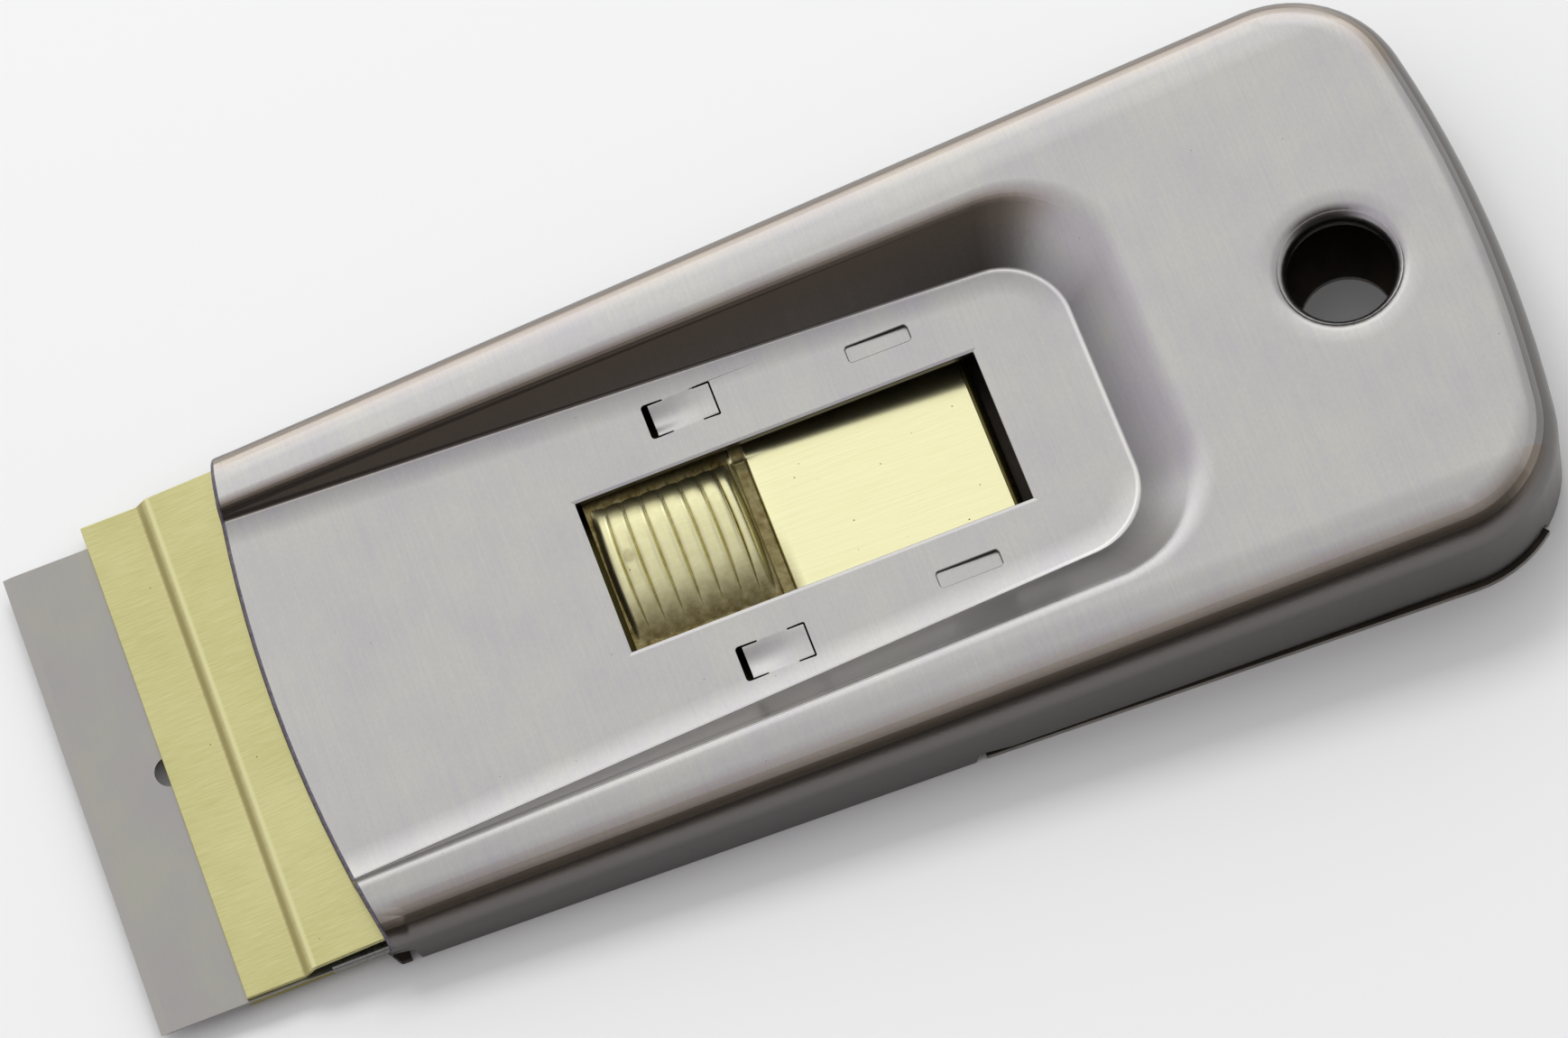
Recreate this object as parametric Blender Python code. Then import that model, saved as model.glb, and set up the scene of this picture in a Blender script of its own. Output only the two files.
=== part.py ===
# A pocket window scraper: a brass carriage with a single-edge blade slides in a drawn stainless cover.
# Metres, +Z up. The scraper lies on its flat back plate, blade towards -X, handle towards +X.
from math import acos, asin, atan, atan2, cos, hypot, pi, radians, sin, sqrt, tan

import bmesh
import bpy
from mathutils import Vector

mm = 0.001

# Sheets
cover_sheet = 0.5 * mm
plate_sheet = 0.5 * mm
brass_sheet = 0.35 * mm

# Blade, the size that everything else follows
blade_width = 38.1 * mm
blade_depth = 19.0 * mm
blade_thickness = 0.23 * mm
blade_grind = 0.7 * mm
blade_shift = -0.85 * mm
blade_hole_radius = 1.2 * mm
blade_hole_from_edge = 6.9 * mm
punch_overrun = 0.3 * mm
spine_depth = 6.0 * mm
spine_sheet = 0.35 * mm
spine_fit = 0.05 * mm

# Carriage
blade_ahead_of_lip = 6.6 * mm
lip_ahead_of_cover = 8.8 * mm
lip_depth = 4.4 * mm
joggle_run = 0.8 * mm
joggle_rise = 0.78 * mm
clamp_rise = 0.65 * mm
brass_overhang = 0.7 * mm
slide_gap = 0.1 * mm
seat_gap = 0.05 * mm
lip_gap = 0.07 * mm
spine_behind_joggle = 0.6 * mm
clamp_stop_gap = 0.5 * mm
clamp_drop_run = 0.9 * mm
clamp_foot = 8.5 * mm
weld_gap = 0.1 * mm
clamp_bend = 0.5 * mm

# Thumb leaf
fold_height = 1.44 * mm
leaf_lap = 2.25 * mm
leaf_headroom = 0.3 * mm
leaf_root_gap = 0.15 * mm
leaf_front_margin = 0.1 * mm
pad_length = 11.0 * mm
pad_side_gap = 0.6 * mm
pad_proud = 0.35 * mm
rib_count = 8
rib_height = 0.3 * mm
rib_spread_share = 0.12
rib_bow_share = 0.05
rib_round_share = 0.6
rib_end_share = 0.06
pad_crown_share = 0.5
pad_squareness = 14
valley_width = 1.25 * mm
valley_depth = 0.35 * mm
valley_wall_run = 0.25 * mm
leaf_end_gap = 1.25 * mm
press_travel = 1.0 * mm

# Cover
cover_length = 93.8 * mm
side_clearance = 0.4 * mm
cover_spread = 5.4 * mm
front_crown = 1.9 * mm
corner_radius = 9.3 * mm
end_crown_radius = 96.0 * mm
top_fillet = 3.5 * mm
nose_fillet = 2.9 * mm
nose_run = 8.0 * mm
fillet_run = 3.2 * mm
clamp_headroom = 0.2 * mm
rail_rise = 1.15 * mm
wedge_rise = 4.6 * mm
panel_rise = 0.44 * mm
wall_lift = 0.1 * mm
seam_gap = 0.25 * mm
seam_start = 45.5 * mm
seam_step = 0.3 * mm
relief_length = 2.5 * mm
relief_height = 0.8 * mm
notch_length = 1.6 * mm
notch_height = 1.9 * mm
notch_slant = 0.5 * mm

# Recess in the cover
rail_front_width = 1.0 * mm
rail_rear_width = 2.6 * mm
slope_front_run = 1.5 * mm
slope_rear_run = 5.25 * mm
slope_end_run = 5.7 * mm
toe_from_end = 30.2 * mm
toe_corner = 5.0 * mm
ridge_corner = 9.0 * mm
ridge_side_round = 1.4 * mm
ridge_end_round = 2.4 * mm
ridge_limit_share = 0.7
toe_round = 0.22 * mm

# Window, lances, half-pierced marks and hang hole
window_front = 25.4 * mm
window_to_toe = 7.5 * mm
pad_front_gap = 0.5 * mm
pad_rear_gap = 0.8 * mm
lance_place_share = 0.311
mark_place_share = 0.8
lance_length = 5.3 * mm
lance_width = 2.8 * mm
guide_inset = 7.97 * mm
guide_gap = 0.37 * mm
lance_depth = 0.8 * mm
lance_front_cut = 0.5 * mm
lance_rear_cut = 0.16 * mm
lance_rear_corner = 0.1 * mm
lance_return = 1.15 * mm
lance_return_cut = 0.25 * mm
lance_rear_share = 0.15
mark_length = 5.0 * mm
mark_width = 1.5 * mm
mark_corner = 0.35 * mm
mark_front_depth = 0.18 * mm
mark_rear_depth = 0.36 * mm
mark_roll = 0.08 * mm
mark_roll_drop = 0.05 * mm
mark_wall_run = 0.14 * mm
flat_border = 0.35 * mm
hang_hole_from_end = 11.45 * mm
hang_hole_radius = 3.95 * mm
hang_lip_radius = 1.2 * mm
hang_lip_skirt = 0.3 * mm

# Back plate
plate_ahead = 1.5 * mm
plate_front_inset = 0.35 * mm
plate_corner = 1.5 * mm
shoulder_start = 1.5 * mm
shoulder_end = 2.3 * mm
front_lug_end = 3.1 * mm
wall_gap = 0.3 * mm
plate_ledge = 0.35 * mm
plate_hole_radius = 3.4 * mm
lug_gap = 0.5 * mm

# Fineness of the facets
corner_steps = 7
fillet_steps = 8
crown_steps = 12
recess_steps = 12
hole_steps = 40
bend_steps = 4
ridge_steps = 6
toe_steps = 2
rib_steps = 6
lance_steps = 6

# Heights of the stack, worked out upwards from the surface that the scraper lies on
tray_bottom = plate_sheet + slide_gap
tray_top = tray_bottom + brass_sheet
spine_slot = blade_thickness + 2 * spine_fit
spine_thickness = spine_slot + 2 * spine_sheet
blade_middle = tray_top + seat_gap + spine_thickness / 2
lip_bottom = blade_middle + blade_thickness / 2 + lip_gap
clamp_bottom = lip_bottom + joggle_rise
clamp_top = clamp_bottom + clamp_rise + brass_sheet
panel_front_height = clamp_top + clamp_headroom + cover_sheet
front_height = panel_front_height + rail_rise

# Widths and lengths that follow the blade, the pad and the travel
carriage_width = blade_width + 2 * brass_overhang
cover_front_width = carriage_width + 2 * (side_clearance + cover_sheet)
spread_slope = cover_spread / 2 / cover_length
overall_length = blade_ahead_of_lip + lip_ahead_of_cover + cover_length
cover_front = overall_length / 2 - cover_length
hang_hole_x = cover_length - hang_hole_from_end
toe_rear = cover_length - toe_from_end
ridge_rear = toe_rear + slope_end_run
window_rear = toe_rear - window_to_toe
window_length = window_rear - window_front
pad_front = window_front + pad_front_gap
pad_rear = pad_front + pad_length
slide_travel = window_rear - pad_rear_gap - pad_rear
lance_front = window_front + lance_place_share * window_length - lance_length / 2
mark_front = window_front + mark_place_share * window_length - mark_length / 2
leaf_front = pad_front - leaf_front_margin
leaf_rear = window_rear - leaf_end_gap
ridge_front_width = cover_front_width - 2 * (fillet_run + rail_front_width)
ridge_rear_width = cover_front_width + 2 * (spread_slope * ridge_rear - fillet_run - rail_rear_width)
toe_front_width = ridge_front_width - 2 * slope_front_run
toe_rear_width = ridge_rear_width - 2 * slope_rear_run
guide_half_width = ridge_rear_width / 2 - guide_inset
leaf_width = 2 * (guide_half_width - guide_gap)
window_width = leaf_width - 2 * leaf_lap
pad_width = window_width - 2 * pad_side_gap


def top_height(x):
    return front_height + wedge_rise * x / cover_length


def panel_height(x):
    return panel_front_height + panel_rise * x / toe_rear


def fillet_drop(x):
    # The top fillet is a little tighter at the cover's nose.
    return top_fillet - (top_fillet - nose_fillet) * max(0, 1 - x / nose_run)


def front_edge(y):
    return front_crown * (2 * y / cover_front_width) ** 2


fold_radius = fold_height / 2
leaf_front_height = panel_height(leaf_front) - cover_sheet - leaf_headroom
leaf_slope = (leaf_front_height - tray_bottom - fold_height) / (leaf_rear - leaf_front)
hinge_x = leaf_rear + leaf_root_gap / 2
hinge_z = tray_bottom + fold_height - brass_sheet / 2
press_angle = asin(press_travel / (hinge_x - (pad_front + pad_rear) / 2))


def material(name, colour, metallic, roughness):
    finish = bpy.data.materials.new(name)
    finish.use_nodes = True
    shader = finish.node_tree.nodes["Principled BSDF"]
    shader.inputs["Base Color"].default_value = (*colour, 1)
    shader.inputs["Metallic"].default_value = metallic
    shader.inputs["Roughness"].default_value = roughness
    return finish


def finish_object(name, bm, finish, place, parent=None):
    bmesh.ops.recalc_face_normals(bm, faces=bm.faces[:])
    mesh = bpy.data.meshes.new(name)
    bm.to_mesh(mesh)
    bm.free()
    mesh.shade_smooth()
    mesh.set_sharp_from_angle(angle=radians(35))
    mesh.materials.append(finish)
    obj = bpy.data.objects.new(name, mesh)
    bpy.context.collection.objects.link(obj)
    obj.parent = parent
    obj.location = place
    return obj


def guide_empty(name, place, parent=None):
    empty = bpy.data.objects.new(name, None)
    bpy.context.collection.objects.link(empty)
    empty.parent = parent
    empty.location = place
    return empty


def mirrored(half):
    # A whole outline from its +Y half: down the near side again in reverse.
    return half + [(x, -y) for x, y in reversed(half)]


def edge_run(bm, verts, closed):
    pairs = list(zip(verts, verts[1:] + verts[:1])) if closed else list(zip(verts, verts[1:]))
    return [bm.edges.get(pair) or bm.edges.new(pair) for pair in pairs]


def bridge(bm, lower, upper):
    # Strips of quads between two runs of as many vertices.
    for (a, b), (c, d) in zip(zip(lower, lower[1:]), zip(upper, upper[1:])):
        bm.faces.new((a, b, d, c))


def arc(centre, radius, start, end, steps):
    turns = [start + (end - start) * i / steps for i in range(steps + 1)]
    return [(centre[0] + radius * cos(turn), centre[1] + radius * sin(turn)) for turn in turns]


def rounded_rectangle(x0, x1, half, radius, steps):
    corners = [(x1 - radius, half - radius, 0), (x0 + radius, half - radius, pi / 2)]
    corners += [(x0 + radius, radius - half, pi), (x1 - radius, radius - half, 3 * pi / 2)]
    return [p for x, y, turn in corners for p in arc((x, y), radius, turn, turn + pi / 2, steps)]


# The outer outline of the cover: two spreading sides, round far corners and a crowned far end
def corner_centre():
    turn = atan(spread_slope)
    along = Vector((cos(turn), sin(turn)))
    start = Vector((0, cover_front_width / 2)) + corner_radius * Vector((sin(turn), -cos(turn)))
    crown = Vector((cover_length - end_crown_radius, 0))
    reach = end_crown_radius - corner_radius
    back = (start - crown).dot(along)
    run = -back + sqrt(back * back - (start - crown).length_squared + reach * reach)
    return start + run * along


def outer_half_width(x, inset=0):
    return cover_front_width / 2 + spread_slope * x - inset * hypot(1, spread_slope)


def side_stations():
    notch_end = front_crown + notch_length
    stations = [notch_end, notch_end + seam_step, seam_start, seam_start + seam_step]
    return stations + [seam_start + seam_step + relief_length]


def outer_outline(inset=0, front=None):
    # The +Y half, from the front edge to the middle of the far end. The seam stops half way round the corner.
    centre = corner_centre()
    crown = cover_length - end_crown_radius
    first = front_edge(outer_half_width(0, inset)) if front is None else front
    side = [(x, outer_half_width(x, inset)) for x in [first] + side_stations()]
    radius = corner_radius - inset
    turn = atan2(centre.y, centre.x - crown)
    seam_end = (pi / 2 + atan(spread_slope) + turn) / 2
    corner = arc(centre, radius, pi / 2 + atan(spread_slope), seam_end, corner_steps)
    corner += arc(centre, radius, seam_end - seam_step / corner_radius, turn, corner_steps)
    end = arc((crown, 0), end_crown_radius - inset, turn, 0, crown_steps // 2)
    return side + corner + end[1:]


def whole_outer(inset=0):
    half = outer_outline(inset)
    return mirrored(half[:-1])[:len(half) - 1] + [half[-1]] + [(x, -y) for x, y in reversed(half[:-1])]


def wall_foot(index):
    # How high the wall's lower edge stands at each point of the +Y half: a notch in front, then
    # the part that hides the plate's edge, a relief cut, and the seam over the plate's long lug.
    stations = len(side_stations())
    seam_end = 1 + stations + corner_steps
    if index < 2:
        return plate_sheet + notch_height - index * notch_slant
    if index in (stations - 1, seam_end):
        return plate_sheet + relief_height
    if stations <= index < seam_end:
        return plate_sheet + seam_gap
    return wall_lift


# The recess: a ridge on the deck, an S-shaped slope and a toe on the sunk panel
def recess_outline(front_width, rear_width, rear, radius):
    slope = (rear_width - front_width) / 2 / rear
    centre = (rear - radius, front_width / 2 + slope * (rear - radius) - radius * hypot(1, slope))
    side_y = front_width / 2 + slope * front_edge(front_width / 2)
    start = (front_edge(side_y), side_y)
    half = [start] + arc(centre, radius, pi / 2 + atan(slope), 0, recess_steps)
    return mirrored(half)


def slope_share(share, ridge_share, toe_share):
    # Height lost along the slope: round at the ridge, straight, and crisp at the toe.
    steep = 1 / (1 - ridge_share / 2 - toe_share / 2)
    if share < ridge_share:
        return steep * share ** 2 / (2 * ridge_share)
    if share > 1 - toe_share:
        return 1 - steep * (1 - share) ** 2 / (2 * toe_share)
    return steep * (share - ridge_share / 2)


def recess_rings():
    ridge = recess_outline(ridge_front_width, ridge_rear_width, ridge_rear, ridge_corner)
    toe = recess_outline(toe_front_width, toe_rear_width, toe_rear, toe_corner)
    rings = [[] for _ in range(ridge_steps + toe_steps + 2)]
    for k, ((ax, ay), (bx, by)) in enumerate(zip(ridge, toe)):
        # The ridge is rounder across the rear end than along the sides.
        to_end = max(0, min(k, len(ridge) - 1 - k) - 1) / recess_steps
        ridge_round = ridge_side_round + (ridge_end_round - ridge_side_round) * (1 - cos(pi * to_end)) / 2
        run = hypot(bx - ax, by - ay)
        ridge_share, toe_share = min(ridge_round / run, ridge_limit_share), toe_round / run
        shares = [ridge_share * i / ridge_steps for i in range(ridge_steps + 1)]
        shares += [1 - toe_share * i / toe_steps for i in range(toe_steps, -1, -1)]
        for ring, share in zip(rings, shares):
            x, y = ax + (bx - ax) * share, ay + (by - ay) * share
            drop = slope_share(share, ridge_share, toe_share)
            ring.append((x, y, top_height(x) * (1 - drop) + panel_height(x) * drop))
    return rings


def bordered(bm, loop, x0, x1, middle, half):
    # A narrow flat border round a pressed form, so that the panel beyond it stays flat.
    ends = (x0 - flat_border, x1 + flat_border)
    points = rounded_rectangle(*ends, half + flat_border, flat_border, bend_steps)
    border = edge_run(bm, [bm.verts.new((x, middle + y, panel_height(x))) for x, y in points], True)
    bmesh.ops.triangle_fill(bm, use_beauty=True, edges=loop + border)
    return border


def lance_block(bm, side):
    # A bridge lanced free at both short ends and dished inwards, deepest at its front cut.
    end = lance_front + lance_length
    body_start, body_end = lance_front + lance_front_cut, end - lance_rear_cut
    inner_start, inner_end = body_start + lance_return, body_end - lance_return
    inner_run = inner_end - inner_start
    columns = [lance_front, body_start]
    columns += [inner_start + inner_run * i / lance_steps for i in range(lance_steps + 1)]
    columns += [body_end, end]
    half = lance_width / 2
    inner_half = half - lance_return_cut
    rows = [-half] + [inner_half * i / lance_steps for i in range(-lance_steps, lance_steps + 1)] + [half]
    middle = side * (guide_half_width + half)
    verts = {}
    for i, x in enumerate(columns):
        for j, y in enumerate(rows):
            run = min(max((x - body_start) / (body_end - body_start), 0), 1)
            fade = (1 + cos(pi * run)) / 2
            depth = lance_depth * (lance_rear_share + (1 - lance_rear_share) * fade)
            on_rim = i in (0, len(columns) - 1)
            sink = 0 if on_rim else depth * (1 + cos(pi * y / half)) / 2
            verts[i, j] = bm.verts.new((x, middle + y, panel_height(x) - sink))
    last_column, last_row = len(columns) - 2, len(rows) - 2
    for i in range(len(columns) - 1):
        for j in range(len(rows) - 1):
            in_end_slot = i in (0, last_column)
            in_return = i in (1, last_column - 1) and j in (0, last_row)
            if not in_end_slot and not in_return:
                bm.faces.new([verts[i + a, j + b] for a, b in ((0, 0), (1, 0), (1, 1), (0, 1))])
    # The rim in turn: the near side, the rear slot's two corners, the far side and the front slot's two.
    rim = [verts[i, 0] for i in range(1, len(columns) - 1)]
    rear = (end - lance_rear_corner, lance_rear_corner, -pi / 2)
    front = (lance_front + lance_return_cut, lance_return_cut, pi / 2)
    for centre_x, radius, first in (rear, front):
        for turn in (first, first + pi / 2):
            centre_y = (half - radius) * (1 if turn in (0, pi / 2) else -1)
            points = arc((centre_x, middle + centre_y), radius, turn, turn + pi / 2, bend_steps)
            rim += [bm.verts.new((x, y, panel_height(x))) for x, y in points]
        rim += [verts[i, len(rows) - 1] for i in range(len(columns) - 2, 0, -1)] if first < 0 else []
    loop = edge_run(bm, rim, True)
    bmesh.ops.delete(bm, geom=[v for v in verts.values() if not v.link_edges], context="VERTS")
    return bordered(bm, loop, lance_front, end, middle, half)


def half_pierced_mark(bm, side):
    # A rounded oblong sheared part of the way through: its rim rolls over, its land lies deeper at the rear.
    middle = side * (guide_half_width + mark_width / 2)
    loops = []
    deeper = mark_rear_depth - mark_front_depth
    steps = ((0, 0, 0), (mark_roll, mark_roll_drop, 0), (mark_wall_run, mark_front_depth, deeper))
    for inset, front_sink, more in steps:
        x0, x1 = mark_front + inset, mark_front + mark_length - inset
        points = rounded_rectangle(x0, x1, mark_width / 2 - inset, mark_corner - inset, bend_steps)
        loop = []
        for x, y in points:
            sink = front_sink + more * (x - x0) / (x1 - x0)
            loop.append(bm.verts.new((x, middle + y, panel_height(x) - sink)))
        loops.append(loop)
    for outer, inner in zip(loops, loops[1:]):
        bridge(bm, outer + outer[:1], inner + inner[:1])
    bm.faces.new(loops[-1])
    loop = edge_run(bm, loops[0], True)
    return bordered(bm, loop, mark_front, mark_front + mark_length, middle, mark_width / 2)


def hang_lip(bm):
    # The sheet rolls down into the hang hole and ends in a short skirt.
    rings = []
    for i in range(bend_steps + 3):
        roll = min(i / (bend_steps + 1), 1) * pi / 2
        radius = hang_hole_radius + hang_lip_radius * (1 - sin(roll))
        drop = hang_lip_radius * (1 - cos(roll)) + (hang_lip_skirt if i > bend_steps + 1 else 0)
        turns = [2 * pi * k / hole_steps for k in range(hole_steps)]
        ring = []
        for turn in turns:
            x = hang_hole_x + radius * cos(turn)
            ring.append(bm.verts.new((x, radius * sin(turn), top_height(x) - drop)))
        rings.append(ring)
    for outer, inner in zip(rings, rings[1:]):
        bridge(bm, outer + outer[:1], inner + inner[:1])
    return edge_run(bm, rings[0], True)


def window_loop(bm):
    half = window_width / 2
    corners = ((window_front, -half), (window_rear, -half), (window_rear, half), (window_front, half))
    return edge_run(bm, [bm.verts.new((x, y, panel_height(x))) for x, y in corners], True)


def front_arc_verts(bm, start, end, height):
    # Vertices along the cover's convex front edge between two that are there already.
    steps = crown_steps
    ys = [start.co.y + (end.co.y - start.co.y) * i / steps for i in range(1, steps)]
    middle = [bm.verts.new((front_edge(y), y, height(front_edge(y)))) for y in ys]
    return edge_run(bm, [start] + middle + [end], False)


def cover_skin():
    # The outer face of the drawn sheet, from the wall's foot over the rails into the sunk panel.
    bm = bmesh.new()
    half_count = len(outer_outline())
    feet = [wall_foot(i) for i in range(half_count)]
    feet = feet + feet[-2::-1]
    rings = [[bm.verts.new((x, y, z)) for (x, y), z in zip(whole_outer(), feet)]]
    for turn in [pi / 2 * i / fillet_steps for i in range(fillet_steps + 1)]:
        points = whole_outer(fillet_run * (1 - cos(turn)))
        drop_share = 1 - sin(turn)
        rings.append([bm.verts.new((x, y, top_height(x) - drop_share * fillet_drop(x))) for x, y in points])
    for lower, upper in zip(rings, rings[1:]):
        bridge(bm, lower, upper)
    slopes = [[bm.verts.new(point) for point in ring] for ring in recess_rings()]
    for upper, lower in zip(slopes, slopes[1:]):
        bridge(bm, upper, lower)
    edge, ridge, toe = rings[-1], slopes[0], slopes[-1]
    rails = edge_run(bm, [edge[0], ridge[0]], False) + edge_run(bm, [edge[-1], ridge[-1]], False)
    deck = edge_run(bm, edge, False) + edge_run(bm, ridge, False) + rails + hang_lip(bm)
    bmesh.ops.triangle_fill(bm, use_beauty=True, edges=deck)
    panel = edge_run(bm, toe, False) + front_arc_verts(bm, toe[-1], toe[0], panel_height)
    panel += window_loop(bm)
    for side in (1, -1):
        panel += lance_block(bm, side)
        panel += half_pierced_mark(bm, side)
    bmesh.ops.triangle_fill(bm, use_beauty=True, edges=panel)
    bmesh.ops.recalc_face_normals(bm, faces=bm.faces[:])
    if max(bm.faces, key=lambda face: face.calc_area()).normal.z < 0:
        bmesh.ops.reverse_faces(bm, faces=bm.faces[:])
    return bm


def make_cover(finish):
    bm = cover_skin()
    mesh = bpy.data.meshes.new("top_cover")
    bm.to_mesh(mesh)
    bm.free()
    mesh.shade_smooth()
    mesh.set_sharp_from_angle(angle=radians(35))
    mesh.materials.append(finish)
    cover = bpy.data.objects.new("top_cover", mesh)
    bpy.context.collection.objects.link(cover)
    cover.location = (cover_front, 0, 0)
    sheet = cover.modifiers.new("sheet", "SOLIDIFY")
    sheet.thickness = cover_sheet
    sheet.offset = -1
    sheet.use_even_offset = True
    sheet.use_quality_normals = True
    shading = cover.modifiers.new("flat_panel_shading", "WEIGHTED_NORMAL")
    shading.keep_sharp = True
    return cover


def prism(outline, holes, bottom, top):
    # A flat sheet from an outline and its round holes.
    bm = bmesh.new()
    loops = []
    for points in [outline] + holes:
        loops += edge_run(bm, [bm.verts.new((x, y, bottom)) for x, y in points], True)
    bmesh.ops.triangle_fill(bm, use_beauty=True, edges=loops)
    raised = bmesh.ops.extrude_face_region(bm, geom=bm.faces[:])
    lifted = [item for item in raised["geom"] if isinstance(item, bmesh.types.BMVert)]
    bmesh.ops.translate(bm, verts=lifted, vec=(0, 0, top - bottom))
    bmesh.ops.recalc_face_normals(bm, faces=bm.faces[:])
    return bm


def make_back_plate(finish):
    # Inside the walls in front and round the far end. A short lug fills each front notch, and a long
    # one runs out under the trimmed wall and stands a little proud of it at the far corner.
    plate_inset = cover_sheet + wall_gap
    inner = outer_outline(plate_inset, front=0)
    outer = outer_outline(-plate_ledge)
    stations = len(side_stations())
    lug_end = stations + 1 + corner_steps
    lug_start = seam_start + seam_step + lug_gap
    front_half = carriage_width / 2 - plate_front_inset
    corner = (plate_corner - plate_ahead, front_half - plate_corner)
    half = arc(corner, plate_corner, pi, pi / 2, bend_steps)
    half += [(shoulder_start, front_half), (shoulder_end, outer_half_width(shoulder_end))]
    half += [(front_lug_end, outer_half_width(front_lug_end))]
    half += [(front_lug_end, outer_half_width(front_lug_end, plate_inset))]
    half += [(lug_start, outer_half_width(lug_start, plate_inset))]
    half += [(lug_start, outer_half_width(lug_start))]
    half += outer[stations + 1:lug_end + 1] + inner[lug_end:]
    outline = half + [(x, -y) for x, y in reversed(half[:-1])]
    hole = arc((hang_hole_x, 0), plate_hole_radius, 0, 2 * pi, hole_steps)[:-1]
    bm = prism(outline, [hole], 0, plate_sheet)
    return finish_object("back_plate", bm, finish, (cover_front, 0, 0))


def bent_strip(path, thickness, width, middle=0):
    # A bent sheet of even thickness: its middle line is given by (x, z) points, its bends are mitred.
    bm = bmesh.new()
    sides = ([], [])
    for i, (x, z) in enumerate(path):
        before = Vector(path[i]) - Vector(path[max(i - 1, 0)])
        after = Vector(path[min(i + 1, len(path) - 1)]) - Vector(path[i])
        before = before.normalized() if before.length else after.normalized()
        after = after.normalized() if after.length else before
        mitre = (before + after).normalized()
        spread = thickness / 2 / mitre.dot(after)
        for side, sign in zip(sides, (1, -1)):
            side.append((x - sign * mitre.y * spread, z + sign * mitre.x * spread))
    outline = sides[0] + sides[1][::-1]
    verts = [bm.verts.new((x, middle - width / 2, z)) for x, z in outline]
    section = bm.faces.new(verts)
    drawn = bmesh.ops.extrude_face_region(bm, geom=[section])
    moved = [item for item in drawn["geom"] if isinstance(item, bmesh.types.BMVert)]
    bmesh.ops.translate(bm, verts=moved, vec=(0, width, 0))
    bmesh.ops.recalc_face_normals(bm, faces=bm.faces[:])
    return bm


def rounded_path(points, radius, steps):
    # The same path with each bend turned on an arc.
    path = [points[0]]
    for a, b, c in zip(points, points[1:], points[2:]):
        a, b, c = Vector(a), Vector(b), Vector(c)
        back, ahead = (a - b).normalized(), (c - b).normalized()
        opening = acos(max(-1, min(1, back.dot(ahead))))
        reach = min(radius / tan(opening / 2), (a - b).length / 2, (c - b).length / 2)
        for i in range(steps + 1):
            share = i / steps
            point = (1 - share) ** 2 * (b + back * reach) + 2 * share * (1 - share) * b
            point += share ** 2 * (b + ahead * reach)
            path.append((point.x, point.y))
    return path + [points[-1]]


def make_tray(finish, parent):
    # The flat lower sheet, with a tongue folded up and forward at its rear as the leaf's root.
    front, rear = -lip_ahead_of_cover, leaf_rear
    half, tongue = carriage_width / 2, leaf_width / 2
    shoulder = rear - 2 * fold_radius
    outline = [(front, -half), (shoulder, -half), (shoulder, -tongue), (rear, -tongue)]
    outline += [(rear, tongue), (shoulder, tongue), (shoulder, half), (front, half)]
    bm = prism(outline, [], 0, brass_sheet)
    bm.faces.ensure_lookup_table()
    end = max(bm.faces, key=lambda face: face.calc_center_median().x)
    axis = Vector((rear, 0, fold_radius))
    fold_turn = pi - atan(leaf_slope)
    bmesh.ops.spin(bm, geom=[end], cent=axis, axis=(0, -1, 0), angle=fold_turn, steps=3 * bend_steps)
    bmesh.ops.delete(bm, geom=[end], context="FACES_ONLY")
    return finish_object("carriage_tray", bm, finish, (0, 0, 0), parent)


def make_clamp(finish, parent):
    # The lip on the blade, the joggle over its spine, a flat that climbs a little, and the foot on the tray.
    lip = lip_bottom + brass_sheet / 2 - tray_bottom
    flat = clamp_bottom + brass_sheet / 2 - tray_bottom
    foot = brass_sheet + weld_gap + brass_sheet / 2
    joggle = lip_depth - lip_ahead_of_cover
    drop = blade_depth - blade_ahead_of_lip - lip_ahead_of_cover + clamp_stop_gap + brass_sheet
    points = [(-lip_ahead_of_cover, lip), (joggle, lip), (joggle + joggle_run, flat)]
    points += [(drop, flat + clamp_rise)]
    points += [(drop + clamp_drop_run, foot), (drop + clamp_drop_run + clamp_foot, foot)]
    bm = bent_strip(rounded_path(points, clamp_bend, bend_steps), brass_sheet, carriage_width)
    return finish_object("blade_clamp", bm, finish, (0, 0, 0), parent)


def make_blade(finish, parent):
    edge = -blade_ahead_of_lip - lip_ahead_of_cover
    middle = blade_middle - tray_bottom
    half = blade_thickness / 2
    bm = bmesh.new()
    outline = [(edge, middle), (edge + blade_grind, middle - half), (edge + blade_depth, middle - half)]
    outline += [(edge + blade_depth, middle + half), (edge + blade_grind, middle + half)]
    y = blade_shift - blade_width / 2
    section = bm.faces.new([bm.verts.new((x, y, z)) for x, z in outline])
    drawn = bmesh.ops.extrude_face_region(bm, geom=[section])
    moved = [item for item in drawn["geom"] if isinstance(item, bmesh.types.BMVert)]
    bmesh.ops.translate(bm, verts=moved, vec=(0, blade_width, 0))
    blade = finish_object("blade", bm, finish, (0, 0, 0), parent)
    punch_bm = bmesh.new()
    bmesh.ops.create_cone(
        punch_bm, cap_ends=True, segments=hole_steps, radius1=blade_hole_radius,
        radius2=blade_hole_radius, depth=blade_thickness + 2 * punch_overrun,
    )
    place = (edge + blade_hole_from_edge, blade_shift, middle)
    punch = finish_object("blade_hole_punch", punch_bm, finish, place, parent)
    punch.display_type = "WIRE"
    punch.hide_render = True
    cut = blade.modifiers.new("hole", "BOOLEAN")
    cut.object = punch
    cut.solver = "EXACT"
    return blade


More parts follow.
